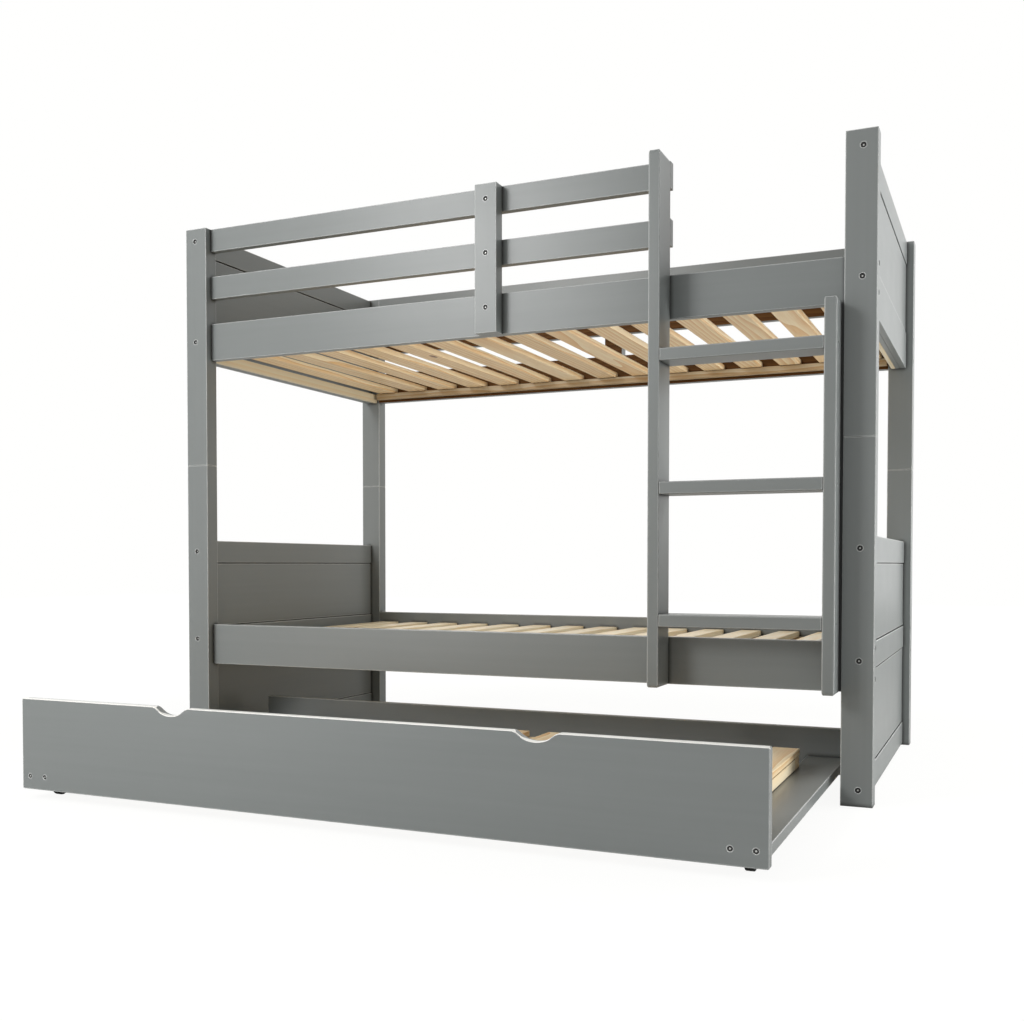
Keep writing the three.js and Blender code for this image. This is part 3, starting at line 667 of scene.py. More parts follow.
# U, V and W of a loft as axes of the bed, for boards along X, along Y and upright
LAY = {
    "x": Matrix(((0, 0, 1, 0), (1, 0, 0, 0), (0, 1, 0, 0), (0, 0, 0, 1))),
    "y": Matrix(((0, 1, 0, 0), (0, 0, 1, 0), (1, 0, 0, 0), (0, 0, 0, 1))),
    "z": Matrix.Identity(4),
}
SIDES = {"x": (1, 2, 0), "y": (2, 0, 1), "z": (0, 1, 2)}


def planed(low, high, axis, radius, inset, reach):
    """A loft that fills the box from low to high, lengthwise along an axis"""
    size = high - low
    u, v, w = SIDES[axis]
    shaped = loft(rounded_outline(size[u], size[v], radius), size[w], inset, reach)
    shaped.transform(Matrix.Translation(low) @ LAY[axis])
    return shaped


print("a rounded outline has", len(rounded_outline(1, 1, 0.1)), "points")

# %% [markdown]
# A finished piece has smooth normals that favour the large faces, so that a flat face stays flat to the eye
# and only its rounded edge shades round. The Weighted Normal modifier works that out. Its result is turned
# into a plain mesh, so that no modifier is left on the piece.

# %% Finishing a piece
SMOOTH_BELOW = math.radians(35)


def smooth(mesh, angle=SMOOTH_BELOW):
    """Smooth shading that breaks at edges sharper than an angle"""
    mesh.shade_smooth()
    mesh.set_sharp_from_angle(angle=angle)


def finish_mesh(name, shaped, material):
    """A linked, smoothly shaded object from a bmesh"""
    mesh = bpy.data.meshes.new(name)
    shaped.to_mesh(mesh)
    shaped.free()
    smooth(mesh)
    mesh.materials.append(material)
    return linked_object(name, mesh)


def freeze(piece):
    """The piece's evaluated shape as a plain mesh, with its modifiers gone"""
    evaluated = piece.evaluated_get(bpy.context.evaluated_depsgraph_get())
    mesh = bpy.data.meshes.new_from_object(evaluated)
    piece.modifiers.clear()
    piece.data = mesh
    mesh.name = piece.name
    return piece


def weigh_normals(piece):
    modifier = piece.modifiers.new("weighted", "WEIGHTED_NORMAL")
    modifier.keep_sharp = True
    return freeze(piece)


def settle(piece, body, slot, *nodes):
    """Attaches a finished piece to the body it rides on and hides the nodes it stands for; slot is not used
    """
    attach(piece, body)
    if nodes:
        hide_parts(*nodes)
    return piece


def second_finish(piece, material, direction, share):
    """Gives the faces that look in a direction another material"""
    piece.data.materials.append(material)
    for face in piece.data.polygons:
        if face.normal.dot(direction) > share:
            face.material_index = 1


BODY_OF = {node: body for body, members in frame["record"]["behaviour"]["bodies"].items() for node in members}
print("nodes", len(BODY_OF))

# %% [markdown]
# The fixings. A hole is bored in the board for each bolt and screw, and its head sits a little below the
# face. The places follow the boards: an end frame's bolts are level with its rails, a side rail's pair goes
# deep into the post's outer side, a rung has two screws at each end, and the front panel has two at each end.

# %% Where the fixings go
# In mm: the hole's radius and depth, how far the head is sunk, and the head's own measures
HEAD_MEASURES = ("Radius", "Height", "Chamfer", "Socket radius", "Socket depth")
FIXING_SIZES = {
    "bolt": {"hole": (7.0, 5.5), "sunk": 1.4, "head": (6.3, 3.4, 0.7, 2.2, 0.5)},
    "side_bolt": {"hole": (7.8, 10.0), "sunk": 5.5, "head": (6.6, 3.4, 0.9, 2.6, 1.8)},
    "rung_screw": {"hole": (4.3, 2.6), "sunk": 0.4, "head": (3.9, 1.8, 0.5, 1.9, 0.4)},
    "panel_screw": {"hole": (5.7, 3.0), "sunk": 0.6, "head": (5.3, 2.2, 0.6, 2.3, 0.4)},
}
END_BOLT_FROM_EDGE = 35.0 * MM
END_BOLT_ROWS = {"lower": ("bottom", "middle", "top"), "upper": ("bottom", "top")}
SIDE_BOLTS = {"lower": (33.0 * MM, 109.0 * MM), "upper": (22.0 * MM, 93.0 * MM)}
UPRIGHT_BOLT_LOW = 70.0 * MM
UPRIGHT_BOLT_DROP = 7.0 * MM
STILE_SCREW_SHARES = (0.25, 0.75)
SCREW_FROM_END = (25.0 * MM, 74.0 * MM)
SCREW_LIFT = 33.0 * MM
CORNERS = ("front_left", "front_right", "back_left", "back_right")
RUNGS = [node for node in sorted(BODY_OF) if node.startswith("ladder_rung")]


def middle(node):
    low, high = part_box(node)
    return (low + high) / 2


def post_bolts(level, corner):
    """(place on the face, direction out of it, kind) of each bolt in one length of a post"""
    low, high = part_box(f"{level}_post_{corner}")
    face, side = corner.split("_")
    face_y, out_y = (low.y, -1) if face == "front" else (high.y, 1)
    face_x, out_x = (low.x, -1) if side == "left" else (high.x, 1)
    end_x = face_x - out_x * END_BOLT_FROM_EDGE
    heights = [middle(f"{level}_end_{row}_rail_{side}").z for row in END_BOLT_ROWS[level]]
    bolts = [(Vector((end_x, face_y, z)), Vector((0, out_y, 0)), "bolt") for z in heights]
    rail = f"{level}_side_rail_{face}"
    rail_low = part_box(rail)[0].z
    for lift in SIDE_BOLTS[level]:
        place = Vector((face_x, middle(rail).y, rail_low + lift))
        bolts.append((place, Vector((out_x, 0, 0)), "side_bolt"))
    return bolts


def upright_bolts(side):
    low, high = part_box(f"guard_{side}_upright")
    face_y, out_y = (low.y, -1) if side == "front" else (high.y, 1)
    rails = [middle(f"guard_{side}_{row}_rail").z - UPRIGHT_BOLT_DROP for row in ("middle", "top")]
    across = (low.x + high.x) / 2
    return [(Vector((across, face_y, z)), Vector((0, out_y, 0)), "bolt")
            for z in [low.z + UPRIGHT_BOLT_LOW] + rails]


def stile_screws(stile, outward):
    low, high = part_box(stile)
    x = low.x if outward < 0 else high.x
    depths = [low.y + share * (high.y - low.y) for share in STILE_SCREW_SHARES]
    out = Vector((outward, 0, 0))
    return [(Vector((x, y, middle(rung).z)), out, "rung_screw") for rung in RUNGS for y in depths]


def panel_screws():
    low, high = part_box("trundle_front_panel")
    across = [x for inset in SCREW_FROM_END for x in (low.x + inset, high.x - inset)]
    return [(Vector((x, low.y, low.z + SCREW_LIFT)), Vector((0, -1, 0)), "panel_screw") for x in across]


FIXINGS = {"trundle_front_panel": panel_screws()}
for level in ("lower", "upper"):
    for corner in CORNERS:
        FIXINGS[f"{level}_post_{corner}"] = post_bolts(level, corner)
for side in ("front", "back"):
    FIXINGS[f"guard_{side}_upright"] = upright_bolts(side)
for stile, outward in (("ladder_left_stile", -1), ("ladder_right_stile", 1)):
    FIXINGS[stile] = stile_screws(stile, outward)
print("fixings", sum(len(places) for places in FIXINGS.values()))

# %% [markdown]
# Boolean cuts are the honest way to make a hole: its wall and floor are real faces, which shade dark by
# themselves, and the paint's corner shade adds painted shade to them. Every cutter of one board is joined
# first, so that each board is cut once.

# %% Boring the holes
HOLE_SIDES = 40
END_ROUND_SHARE = 0.6


def bored(piece, fixings):
    """Cuts a hole in the piece for each fixing"""
    cutters = bmesh.new()
    for place, out, kind in fixings:
        turn = out.to_track_quat("Z", "Y").to_matrix().to_4x4()
        radius, depth = (size * MM for size in FIXING_SIZES[kind]["hole"])
        bmesh.ops.create_cone(
            cutters, cap_ends=True, segments=HOLE_SIDES, radius1=radius, radius2=radius,
            depth=2 * depth, matrix=Matrix.Translation(place) @ turn)
    mesh = bpy.data.meshes.new("cutters")
    cutters.to_mesh(mesh)
    cutters.free()
    cutter = linked_object("cutters", mesh)
    modifier = piece.modifiers.new("bore", "BOOLEAN")
    modifier.object = cutter
    modifier.solver = "EXACT"
    freeze(piece)
    bpy.data.objects.remove(cutter)
    smooth(piece.data)


def painted_board(node, axis, radius, inset=None, reach=None, lift=0.0):
    """A planed and painted board in the space of a node, or from a little above its lower end"""
    low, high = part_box(node)
    low.z += lift
    inset = radius * END_ROUND_SHARE if inset is None else inset
    reach = inset if reach is None else reach
    shaped = planed(low, high, axis, radius, inset, reach)
    piece = finish_mesh("painted_" + node, shaped, GREY_PAINT[axis])
    if node in FIXINGS:
        bored(piece, FIXINGS[node])
    weigh_normals(piece)
    return settle(piece, BODY_OF[node], "grey_paint", node)


print("holes", {kind: sizes["hole"][0] for kind, sizes in FIXING_SIZES.items()}, "mm radius")

# %% [markdown]
# Posts, rails, guards and ladder. The posts and rails have small, crisp edges. The ladder's parts are what
# hands and feet meet, so its edges are rounder, and the ends of its stiles are rounded over further. A black
# strip in the slot between the ladder's right stile and the post that it is fixed to is painted shade: it
# stands in for the shadow in that slot. The back guard's upright starts a little higher, so that it stays
# hidden behind its rail.

# %% Posts, rails, guards and ladder
POST_ROUND = 1.6 * MM
LADDER_ROUND = 2.6 * MM
LIFTS = {"guard_back_upright": 8.0 * MM}
STILE_END_INSET = 4.5 * MM
STILE_END_REACH = 9.0 * MM
STRIP_SET_BACK = 5.0 * MM
STRIP_ROUND = 0.5 * MM
FACES_ALONG = 0.9

for node in FIXINGS:
    if "_post_" in node or node.endswith("_upright"):
        painted_board(node, "z", POST_ROUND, lift=LIFTS.get(node, 0.0))
for level in ("lower", "upper"):
    for side in ("front", "back"):
        painted_board(f"{level}_side_rail_{side}", "x", POST_ROUND)
for side in ("front", "back"):
    for row in ("top", "middle"):
        painted_board(f"guard_{side}_{row}_rail", "x", POST_ROUND)
for stile in ("ladder_left_stile", "ladder_right_stile"):
    painted_board(stile, "z", LADDER_ROUND, STILE_END_INSET, STILE_END_REACH)
for rung in RUNGS:
    painted_board(rung, "x", LADDER_ROUND)


def slot_shadow_strip():
    """A black strip between the right stile and the post, drawn back from both front faces, as painted shade
    for the slot's shadow
    """
    stile_low, stile_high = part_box("ladder_right_stile")
    post_low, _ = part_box("lower_post_front_right")
    low = Vector((stile_high.x, post_low.y + STRIP_SET_BACK, stile_low.z + STRIP_SET_BACK))
    high = Vector((post_low.x, stile_high.y, stile_high.z))
    shaped = planed(low, high, "z", STRIP_ROUND, STRIP_ROUND, STRIP_ROUND)
    piece = weigh_normals(finish_mesh("ladder_slot_shadow_strip", shaped, BLACK_PLASTIC))
    return settle(piece, "bed", "castor_wheel")


slot_shadow_strip()
# The back boards' inner sides get the dark brown pine, painted shade
for node in ("guard_back_middle_rail", "upper_side_rail_back", "guard_back_upright"):
    second_finish(bpy.data.objects["painted_" + node], SHADED_BACK_PINE, Vector((0, -1, 0)), FACES_ALONG)

# %% [markdown]
# The end frames hold their panels in grooves, and the narrow dark line round each panel is a real gap with
# the tongue at its bottom, darkened further by the paint's painted shade. These nodes have the right section
# already, so each is copied, its loose triangles are merged into whole faces, and every sharp edge is eased
# by half a millimetre.

# %% End frames
EASED_EDGE = 0.5 * MM
EASED_STEPS = 2
EASED_ABOVE = math.radians(50)
FLAT_WITHIN = math.radians(1)
MERGE_WITHIN = 0.01 * MM


def eased_copy(node, name, material, width, slot):
    """A merged copy of a node with softly broken edges, which stands for it"""
    shaped = bmesh.new()
    shaped.from_mesh(frame["nodes"][node].data)
    bmesh.ops.remove_doubles(shaped, verts=shaped.verts, dist=MERGE_WITHIN)
    bmesh.ops.dissolve_limit(shaped, angle_limit=FLAT_WITHIN, verts=shaped.verts, edges=shaped.edges)
    piece = finish_mesh(name, shaped, material)
    modifier = piece.modifiers.new("eased", "BEVEL")
    modifier.width = width
    modifier.segments = EASED_STEPS
    modifier.limit_method = "ANGLE"
    modifier.angle_limit = EASED_ABOVE
    freeze(piece)
    smooth(piece.data, EASED_ABOVE)
    weigh_normals(piece)
    return settle(piece, BODY_OF[node], slot, node)


END_NODES = [node for node in sorted(BODY_OF) if "_end_" in node and not node.startswith("trundle")]
for node in END_NODES:
    eased_copy(node, "painted_" + node, GREY_PAINT["y"], EASED_EDGE, "grey_paint")
print("end frame pieces", len(END_NODES))

# %% [markdown]
# The trundle's front panel is the piece nearest to the camera, so its outline is drawn here again with a
# smooth curve through each finger scoop. The curve is the same pair of cubics as in the model, at more
# steps, and the loft rounds its long edges.

# %% Trundle front panel
PANEL_ROUND = 1.4 * MM
PANEL_CORNER = 4.0 * MM
PANEL_EDGE_INSET = 1.8 * MM
PANEL_EDGE_REACH = 1.2 * MM
SCOOP_WIDTH = 108.0 * MM
SCOOP_DEPTH = 20.0 * MM
SCOOP_FROM_END = 472.0 * MM
SCOOP_SHOULDER_SHARE = 0.14
SCOOP_BOTTOM_SHARE = 0.31
SCOOP_STEPS = 20
FACES_UP = 0.15


def cubic(start, first, second, end):
    """Points along a cubic curve, without its start"""
    points = []
    for step in range(1, SCOOP_STEPS + 1):
        t = step / SCOOP_STEPS
        s = 1 - t
        points.append(start * s ** 3 + first * (3 * s * s * t) + second * (3 * s * t * t) + end * t ** 3)
    return points


def scoop(centre, top):
    """One finger scoop's points, from its right shoulder to its left"""
    half = SCOOP_WIDTH / 2
    right = Vector((centre + half, top))
    left = Vector((centre - half, top))
    floor = Vector((centre, top - SCOOP_DEPTH))
    shoulder = Vector((SCOOP_WIDTH * SCOOP_SHOULDER_SHARE, 0))
    aside = Vector((SCOOP_WIDTH * SCOOP_BOTTOM_SHARE, 0))
    points = [right]
    points += cubic(right, right - shoulder, floor + aside, floor)
    points += cubic(floor, floor - aside, left + shoulder, left)
    return points


def front_panel():
    low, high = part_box("trundle_front_panel")
    size = high - low
    corners = rounded_outline(size.x, size.z, PANEL_CORNER)
    split = 2 * (CORNER_SIDES + 1)
    outline = corners[:split]
    outline += scoop(size.x - SCOOP_FROM_END, size.z)
    outline += scoop(SCOOP_FROM_END, size.z)
    outline += corners[split:]
    shaped = loft(outline, size.y, PANEL_EDGE_INSET, PANEL_EDGE_REACH)
    shaped.transform(Matrix(((1, 0, 0, low.x), (0, 0, -1, high.y), (0, 1, 0, low.z), (0, 0, 0, 1))))
    piece = finish_mesh("painted_trundle_front_panel", shaped, GREY_PAINT["x"])
    bored(piece, FIXINGS["trundle_front_panel"])
    weigh_normals(piece)
    # Faces that look up get the painted top-edge highlight
    second_finish(piece, LIT_TOP_EDGE, Vector((0, 0, 1)), FACES_UP)
    return settle(piece, "trundle", "grey_paint", "trundle_front_panel")


print("front panel faces", len(front_panel().data.polygons))
painted_board("trundle_back_panel", "x", PANEL_ROUND)
for side in ("left", "right"):
    painted_board(f"trundle_end_board_{side}", "y", PANEL_ROUND)

# %% [markdown]
# Slats repeat, so Geometry Nodes lay them: a line of points, one eased strip on each, and two values stored
# on every copy for the pine to read. The strip is a filleted rectangle swept along the slat. The tree ends
# by making the copies real, because an exported model can't hold instances.

# %% Slat tree
EASE = 2.0 * MM
EASE_STEPS = 3
SEED = 11
TONE_REACH = 0.5
SHIFT_REACH = 40.0
GEOMETRY = "NodeSocketGeometry"
MATERIAL = "NodeSocketMaterial"
COUNT = "NodeSocketInt"


def geometry_tree(name, inputs):
    """A geometry tree with an output and named inputs, with the inputs' identifiers and outputs"""
    tree = bpy.data.node_groups.new(name, "GeometryNodeTree")
    tree.interface.new_socket("Geometry", in_out="OUTPUT", socket_type=GEOMETRY)
    names = {}
    for label, kind in inputs:
        names[label] = tree.interface.new_socket(label, in_out="INPUT", socket_type=kind).identifier
    return tree, names, tree.nodes.new("NodeGroupInput").outputs


def stored_random(tree, geometry, label, kind, low, high):
    """A random value kept on each copy under a name that a material can read"""
    # The node's sockets for vectors come before those for numbers
    first, output = (0, 0) if kind == "FLOAT_VECTOR" else (2, 1)
    random = add_node(tree, "FunctionNodeRandomValue", {first: low, first + 1: high, "Seed": SEED},
                      data_type=kind).outputs[output]
    inputs = {"Name": label, "Geometry": geometry, "Value": random}
    store = add_node(tree, "GeometryNodeStoreNamedAttribute", inputs, data_type=kind, domain="INSTANCE")
    return store.outputs["Geometry"]


def slat_strip(tree, given):
    """One slat with eased edges, from the origin along Y"""
    outline = add_node(tree, "GeometryNodeCurvePrimitiveQuadrilateral",
                       {"Width": given["Width"], "Height": given["Thickness"]}).outputs["Curve"]
    eased = add_node(tree, "GeometryNodeFilletCurve",
                     {"Count": EASE_STEPS, "Radius": EASE, "Curve": outline}, mode="POLY").outputs["Curve"]
    end = joined_axes(tree, Y=given["Length"])
    path = add_node(tree, "GeometryNodeCurvePrimitiveLine", {"End": end}).outputs["Curve"]
    swept = add_node(tree, "GeometryNodeCurveToMesh",
                     {"Fill Caps": True, "Curve": path, "Profile Curve": eased})
    return swept.outputs["Mesh"]


def slat_tree():
    tree, names, given = geometry_tree("row_of_slats", [
        ("Count", COUNT), ("Pitch", VALUE), ("Width", VALUE), ("Thickness", VALUE), ("Length", VALUE),
        ("First slat", VECTOR), ("Material", MATERIAL)])
    points = add_node(tree, "GeometryNodeMeshLine",
                      {"Count": given["Count"], "Start Location": given["First slat"],
                       "Offset": joined_axes(tree, X=given["Pitch"])}).outputs["Mesh"]
    flow = add_node(tree, "GeometryNodeInstanceOnPoints",
                    {"Points": points, "Instance": slat_strip(tree, given)}).outputs[0]
    flow = stored_random(tree, flow, "tone", "FLOAT", -TONE_REACH, TONE_REACH)
    flow = stored_random(tree, flow, "shift", "FLOAT_VECTOR", (0.0,) * 3, (SHIFT_REACH,) * 3)
    real = add_node(tree, "GeometryNodeRealizeInstances", {"Geometry": flow}).outputs["Geometry"]
    finished = add_node(tree, "GeometryNodeSetMaterial", {"Geometry": real, "Material": given["Material"]})
    add_node(tree, "NodeGroupOutput", {"Geometry": finished.outputs["Geometry"]})
    return tree, names


SLAT_TREE, SLAT_INPUTS = slat_tree()
print("slat tree nodes", len(SLAT_TREE.nodes))

# %% [markdown]
# Each deck is a row of slats on its carriers. The two berths rest on a batten along each side rail, and a
# painted lining with a pine lath runs across each end. The trundle's slats rest on three bearers, with a
# batten under the slat at each end. The slats' spacing comes from the space between the first and the last.

# %% Decks
SLAT_WIDTH = 68.0 * MM
DECKS = {
    # The lower berth's slats get the lit pine, painted light
    "lower_slat_deck": {"count": 15, "from_end": 54.0 * MM, "thickness": 18.0 * MM, "material": LIT_PINE},
    "upper_slat_deck": {"count": 15, "from_end": 54.0 * MM, "thickness": 18.0 * MM, "material": PINE["y"]},
    "trundle_slat_deck": {"count": 14, "from_end": 0.0, "thickness": 17.0 * MM, "material": PINE["y"]},
}
BATTEN = 24.0 * MM
SAWN_END = EASE / 4
SIDE_BATTEN_FROM_END = 38.0 * MM
END_LINING = 12.0 * MM
END_LATH = 14.0 * MM
END_LATH_DROP = 9.6 * MM
END_CLEARANCE = 1.9 * MM
# Painted shade: fixed darker tones for the battens and the laths, which lie in shade under the slats
BATTEN_SHADE_TONE = -2.8
LATH_SHADE_TONE = -1.7


def row_of_slats(node):
    low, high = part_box(node)
    count, from_end, thickness, material = DECKS[node].values()
    piece = linked_object(node + "_slats", bpy.data.meshes.new(node + "_slats"))
    modifier = piece.modifiers.new("slats", "NODES")
    modifier.node_group = SLAT_TREE
    span = high.x - low.x - 2 * from_end - SLAT_WIDTH
    settings = {
        "Count": count,
        "Pitch": span / (count - 1),
        "Width": SLAT_WIDTH,
        "Thickness": thickness,
        "Length": high.y - low.y,
        "First slat": (low.x + from_end + SLAT_WIDTH / 2, low.y, high.z - thickness / 2),
        "Material": material,
    }
    for label, value in settings.items():
        modifier[SLAT_INPUTS[label]] = value
    freeze(piece)
    smooth(piece.data)
    weigh_normals(piece)
    return settle(piece, BODY_OF[node], "pine", node)


def strip(name, low, high, axis, node, finish=None, tone=0.0):
    """A batten or a bearer in a box, with broken edges and sawn ends"""
    shaped = planed(low, high, axis, EASE, SAWN_END, SAWN_END)
    piece = finish_mesh(name, shaped, finish or PINE[axis])
    tones = piece.data.attributes.new("tone", "FLOAT", "POINT")
    tones.data.foreach_set("value", [tone] * len(piece.data.vertices))
    weigh_normals(piece)
    return settle(piece, BODY_OF[node], "grey_paint" if finish in GREY_PAINT.values() else "pine", node)


def berth_battens(node):
    """The battens along both sides of a berth, and a lined lath across each end"""
    low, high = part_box(node)
    top = high.z - DECKS[node]["thickness"]
    left = low.x + SIDE_BATTEN_FROM_END
    right = high.x - SIDE_BATTEN_FROM_END
    for label, y in (("front", low.y), ("back", high.y - BATTEN)):
        near = Vector((left, y, low.z))
        far = Vector((right, y + BATTEN, top))
        strip(f"{node}_batten_{label}", near, far, "x", node, tone=BATTEN_SHADE_TONE)
    for label, edge, inward in (("left", low.x, 1), ("right", high.x, -1)):
        outer = edge - inward * END_CLEARANCE
        joint = edge + inward * END_LINING
        inner = edge + inward * (END_LINING + END_LATH)
        for part, sides, finish in (("lining", (outer, joint), GREY_PAINT["y"]),
                                    ("lath", (joint, inner), LIT_PINE)):
            near = Vector((min(sides), low.y, low.z - END_LATH_DROP))
            far = Vector((max(sides), high.y, top))
            strip(f"{node}_{part}_{label}", near, far, "y", node, finish, LATH_SHADE_TONE)


for node in ("lower_slat_deck", "upper_slat_deck"):
    row_of_slats(node)
    berth_battens(node)

# %% [markdown]
# The trundle's carriers. The three bearers run the length of the trundle. In the model the slats sink a
# millimetre into them, so here their tops are that much lower and meet the slats' undersides. At each end
# two battens fill the spaces between the bearers, and lie a little lower.

# %% Trundle deck
SUNK = 1.0 * MM
BEARER_WIDTH = 57.0 * MM
BEARER_HEIGHT = 32.0 * MM
END_BATTEN_WIDTH = 34.0 * MM
END_BATTEN_GAP = 2.5 * MM
BATTEN_SET_BACK = 1.5 * MM


def trundle_carriers():
    node = "trundle_slat_deck"
    low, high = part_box(node)
    top = low.z + BEARER_HEIGHT - SUNK
    left = low.x + BATTEN_SET_BACK
    right = high.x - BATTEN_SET_BACK
    depth = high.y - low.y
    starts = (0.0, (depth - BEARER_WIDTH) / 2, depth - BEARER_WIDTH)
    for label, start in zip(("front", "middle", "back"), starts):
        near = Vector((left, low.y + start, low.z))
        far = Vector((right, low.y + start + BEARER_WIDTH, top))
        strip("trundle_bearer_" + label, near, far, "x", node)
    halves = ((low.y + BEARER_WIDTH, starts[1] + low.y),
              (starts[1] + low.y + BEARER_WIDTH, high.y - BEARER_WIDTH))
    for label, x in (("left", left), ("right", high.x - END_BATTEN_WIDTH - BATTEN_SET_BACK)):
        for part, (front_y, back_y) in zip(("front", "back"), halves):
            near = Vector((x, front_y, low.z))
            far = Vector((x + END_BATTEN_WIDTH, back_y, top - END_BATTEN_GAP))
            # The end battens get the lit pine, painted light
            strip(f"trundle_end_batten_{label}_{part}", near, far, "y", node, LIT_PINE)


row_of_slats("trundle_slat_deck")
trundle_carriers()

# %% [markdown]
# Bolt and screw heads are one tree with different sizes: a chamfered disc, cut by a hexagon, with a bright
# floor in the socket that is a painted highlight. Points carry the direction out of the face, and each head
# turns to follow it.

# %% Head tree
HEAD_SIDES = 32
SOCKET_SIDES = 6
# As shares of the socket's depth and of the head's height
FLOOR_BELOW = -0.75
BACK_ABOVE = -0.9


def disc(tree, kind, sides, **sizes):
    inputs = {label.replace("_", " "): size for label, size in sizes.items()}
    return add_node(tree, kind, {"Vertices": sides, **inputs}).outputs[0]


def raised(tree, geometry, height):
    lift = joined_axes(tree, Z=height)
    return add_node(tree, "GeometryNodeTransform", {"Geometry": geometry, "Translation": lift}).outputs[0]


def head_shape(tree, given):
    """A chamfered disc with its top at zero, cut by a hexagon"""
    radius = given["Radius"]
    chamfer = given["Chamfer"]
    shank = calculated(tree, "SUBTRACT", given["Height"], chamfer)
    base = disc(tree, "GeometryNodeMeshCylinder", HEAD_SIDES, Radius=radius, Depth=shank)
    base_drop = calculated(tree, "SUBTRACT", calculated(tree, "MULTIPLY", shank, -0.5), chamfer)
    crown = disc(tree, "GeometryNodeMeshCone", HEAD_SIDES, Depth=chamfer, Radius_Bottom=radius,
                 Radius_Top=calculated(tree, "SUBTRACT", radius, chamfer))
    crown_drop = calculated(tree, "MULTIPLY", chamfer, -1.0)
    whole = add_node(tree, "GeometryNodeMeshBoolean", operation="UNION", solver="EXACT")
    for part in (raised(tree, base, base_drop), raised(tree, crown, crown_drop)):
        set_inputs(tree, whole, {"Mesh 2": part})
    key = disc(tree, "GeometryNodeMeshCylinder", SOCKET_SIDES, Radius=given["Socket radius"],
               Depth=calculated(tree, "MULTIPLY", given["Socket depth"], 2.0))
    cut = add_node(tree, "GeometryNodeMeshBoolean", operation="DIFFERENCE", solver="EXACT")
    set_inputs(tree, cut, {"Mesh 1": whole.outputs[0], "Mesh 2": key})
    return cut.outputs[0]


def socket_floor(tree, given):
    """One on the faces at the bottom of the socket, and nought elsewhere"""
    place = split_axes(tree, add_node(tree, "GeometryNodeInputPosition").outputs[0])
    squares = [calculated(tree, "POWER", place[axis], 2.0) for axis in ("X", "Y")]
    across = calculated(tree, "SQRT", calculated(tree, "ADD", *squares))
    inside = calculated(tree, "LESS_THAN", across, given["Socket radius"])
    floor_level = calculated(tree, "MULTIPLY", given["Socket depth"], FLOOR_BELOW)
    back_level = calculated(tree, "MULTIPLY", given["Height"], BACK_ABOVE)
    deep = calculated(tree, "LESS_THAN", place["Z"], floor_level)
    above_back = calculated(tree, "GREATER_THAN", place["Z"], back_level)
    return calculated(tree, "MULTIPLY", inside, calculated(tree, "MULTIPLY", deep, above_back))


def head_tree():
    """Turns a head on each point, makes the copies real and gives the socket's floor its painted highlight
    finish
    """
    tree, names, given = geometry_tree("socket_heads", [
        ("Points", GEOMETRY), ("Radius", VALUE), ("Height", VALUE), ("Chamfer", VALUE),
        ("Socket radius", VALUE), ("Socket depth", VALUE), ("Head", MATERIAL), ("Floor", MATERIAL)])
    mark = add_node(tree, "GeometryNodeStoreNamedAttribute", data_type="FLOAT", domain="FACE")
    set_inputs(tree, mark, {"Name": "socket_floor", "Geometry": head_shape(tree, given),
                            "Value": socket_floor(tree, given)})
    facing = add_node(tree, "GeometryNodeInputNamedAttribute", {"Name": "facing"}, data_type="FLOAT_VECTOR")
    turn = add_node(tree, "FunctionNodeAlignRotationToVector", {"Vector": facing.outputs["Attribute"]})
    copies = add_node(tree, "GeometryNodeInstanceOnPoints",
                      {"Points": given["Points"], "Instance": mark.outputs["Geometry"],
                       "Rotation": turn.outputs["Rotation"]}).outputs[0]
    real = add_node(tree, "GeometryNodeRealizeInstances", {0: copies}).outputs[0]
    whole = add_node(tree, "GeometryNodeSetMaterial",
                     {"Geometry": real, "Material": given["Head"]}).outputs[0]
    marked = add_node(tree, "GeometryNodeInputNamedAttribute", {"Name": "socket_floor"}).outputs["Attribute"]
    bright = add_node(tree, "GeometryNodeSetMaterial",
                      {"Geometry": whole, "Selection": marked, "Material": given["Floor"]}).outputs[0]
    add_node(tree, "NodeGroupOutput", {"Geometry": bright})
    return tree, names


HEAD_TREE, HEAD_INPUTS = head_tree()
print("head tree nodes", len(HEAD_TREE.nodes))

# %% [markdown]
# The heads of one kind are one mesh, made at the places where the holes were bored. Heads on different
# bodies are made apart, because a mesh rides on one body.

# %% Bolts and screws
def heads(kind, body):
    """One mesh with the head of every fixing of a kind on a body"""
    name = f"{body}_{kind}_heads"
    sizes = FIXING_SIZES[kind]
    places = [(place, out) for node, fixings in FIXINGS.items() if BODY_OF[node] == body
              for place, out, its_kind in fixings if its_kind == kind]
    mesh = bpy.data.meshes.new(name)
    mesh.from_pydata([place - out * (sizes["sunk"] * MM) for place, out in places], [], [])
    facing = mesh.attributes.new("facing", "FLOAT_VECTOR", "POINT")
    facing.data.foreach_set("vector", [part for _, out in places for part in out])
    piece = linked_object(name, mesh)
    modifier = piece.modifiers.new("heads", "NODES")
    modifier.node_group = HEAD_TREE
    for label, size in zip(HEAD_MEASURES, sizes["head"]):
        modifier[HEAD_INPUTS[label]] = size * MM
    modifier[HEAD_INPUTS["Head"]] = BLACK_SHADE_STEEL
    modifier[HEAD_INPUTS["Floor"]] = HIGHLIGHT_STEEL
    freeze(piece)
    piece.data.set_sharp_from_angle(angle=SMOOTH_BELOW)
    return settle(piece, body, "castor_fork")


for kind, body in (("bolt", "bed"), ("side_bolt", "bed"), ("rung_screw", "bed"), ("panel_screw", "trundle")):
    print(kind, body, "faces", len(heads(kind, body).data.polygons))

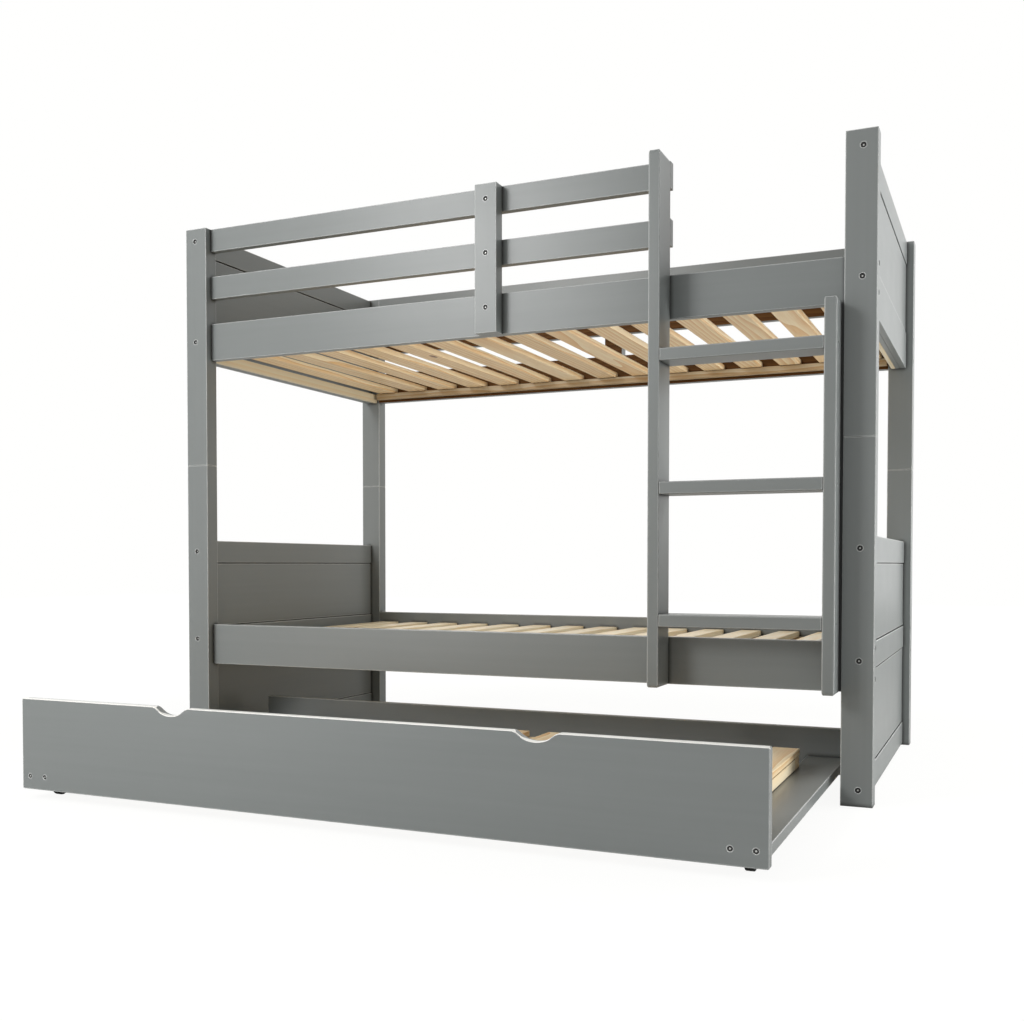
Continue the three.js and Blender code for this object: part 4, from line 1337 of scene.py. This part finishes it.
# %% [markdown]
# The castors are small and low, and only their treads show below the front panel. The wheels are turned
# from a profile with a rounded tread and a recessed face, and each rides on its own body, so that it rolls.
# The forks are eased copies of their nodes.

# %% Castors
TREAD_ROUND = 3.0 * MM
HUB_RADIUS = 8.0 * MM
HUB_STEP = 1.5 * MM
BORE_RADIUS = 3.3 * MM
WHEEL_SIDES = 64
TREAD_STEPS = 5
FORK_EASE = 0.3 * MM


def wheel_profile(radius, half):
    """(distance from the axle, place along it) round one half section of the wheel"""
    rim = radius - TREAD_ROUND
    dish = rim - TREAD_ROUND
    face = [(BORE_RADIUS, half), (HUB_RADIUS, half), (HUB_RADIUS, half - HUB_STEP), (dish, half - HUB_STEP),
            (dish, half)]
    points = [(distance, -along) for distance, along in face]
    for side, start in ((-1, -90), (1, 0)):
        for step in range(TREAD_STEPS + 1):
            angle = math.radians(start + 90 * step / TREAD_STEPS)
            along = side * (half - TREAD_ROUND) + TREAD_ROUND * math.sin(angle)
            points.append((rim + TREAD_ROUND * math.cos(angle), along))
    return points + face[::-1]


def castor_wheel(corner):
    node = "castor_wheel_" + corner
    low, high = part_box(node)
    centre = (low + high) / 2
    profile = wheel_profile((high.z - low.z) / 2, (high.x - low.x) / 2)
    shaped = bmesh.new()
    loops = []
    for side in range(WHEEL_SIDES):
        angle = math.radians(360 * side / WHEEL_SIDES)
        ring = [centre + Vector((along, r * math.cos(angle), r * math.sin(angle))) for r, along in profile]
        loops.append([shaped.verts.new(point) for point in ring])
    count = len(profile)
    for i, ring in enumerate(loops):
        following = loops[(i + 1) % WHEEL_SIDES]
        for j in range(count):
            k = (j + 1) % count
            shaped.faces.new((ring[j], ring[k], following[k], following[j]))
    bmesh.ops.recalc_face_normals(shaped, faces=shaped.faces)
    piece = weigh_normals(finish_mesh("turned_" + node, shaped, BLACK_PLASTIC))
    return settle(piece, BODY_OF[node], "castor_wheel", node)


for corner in CORNERS:
    castor_wheel(corner)
    eased_copy("castor_fork_" + corner, "pressed_castor_fork_" + corner, ZINC, FORK_EASE, "castor_fork")
    for place in frame["nodes"]["post_dowel_" + corner].material_slots:
        place.material = BEECH
print("castors", len(CORNERS))
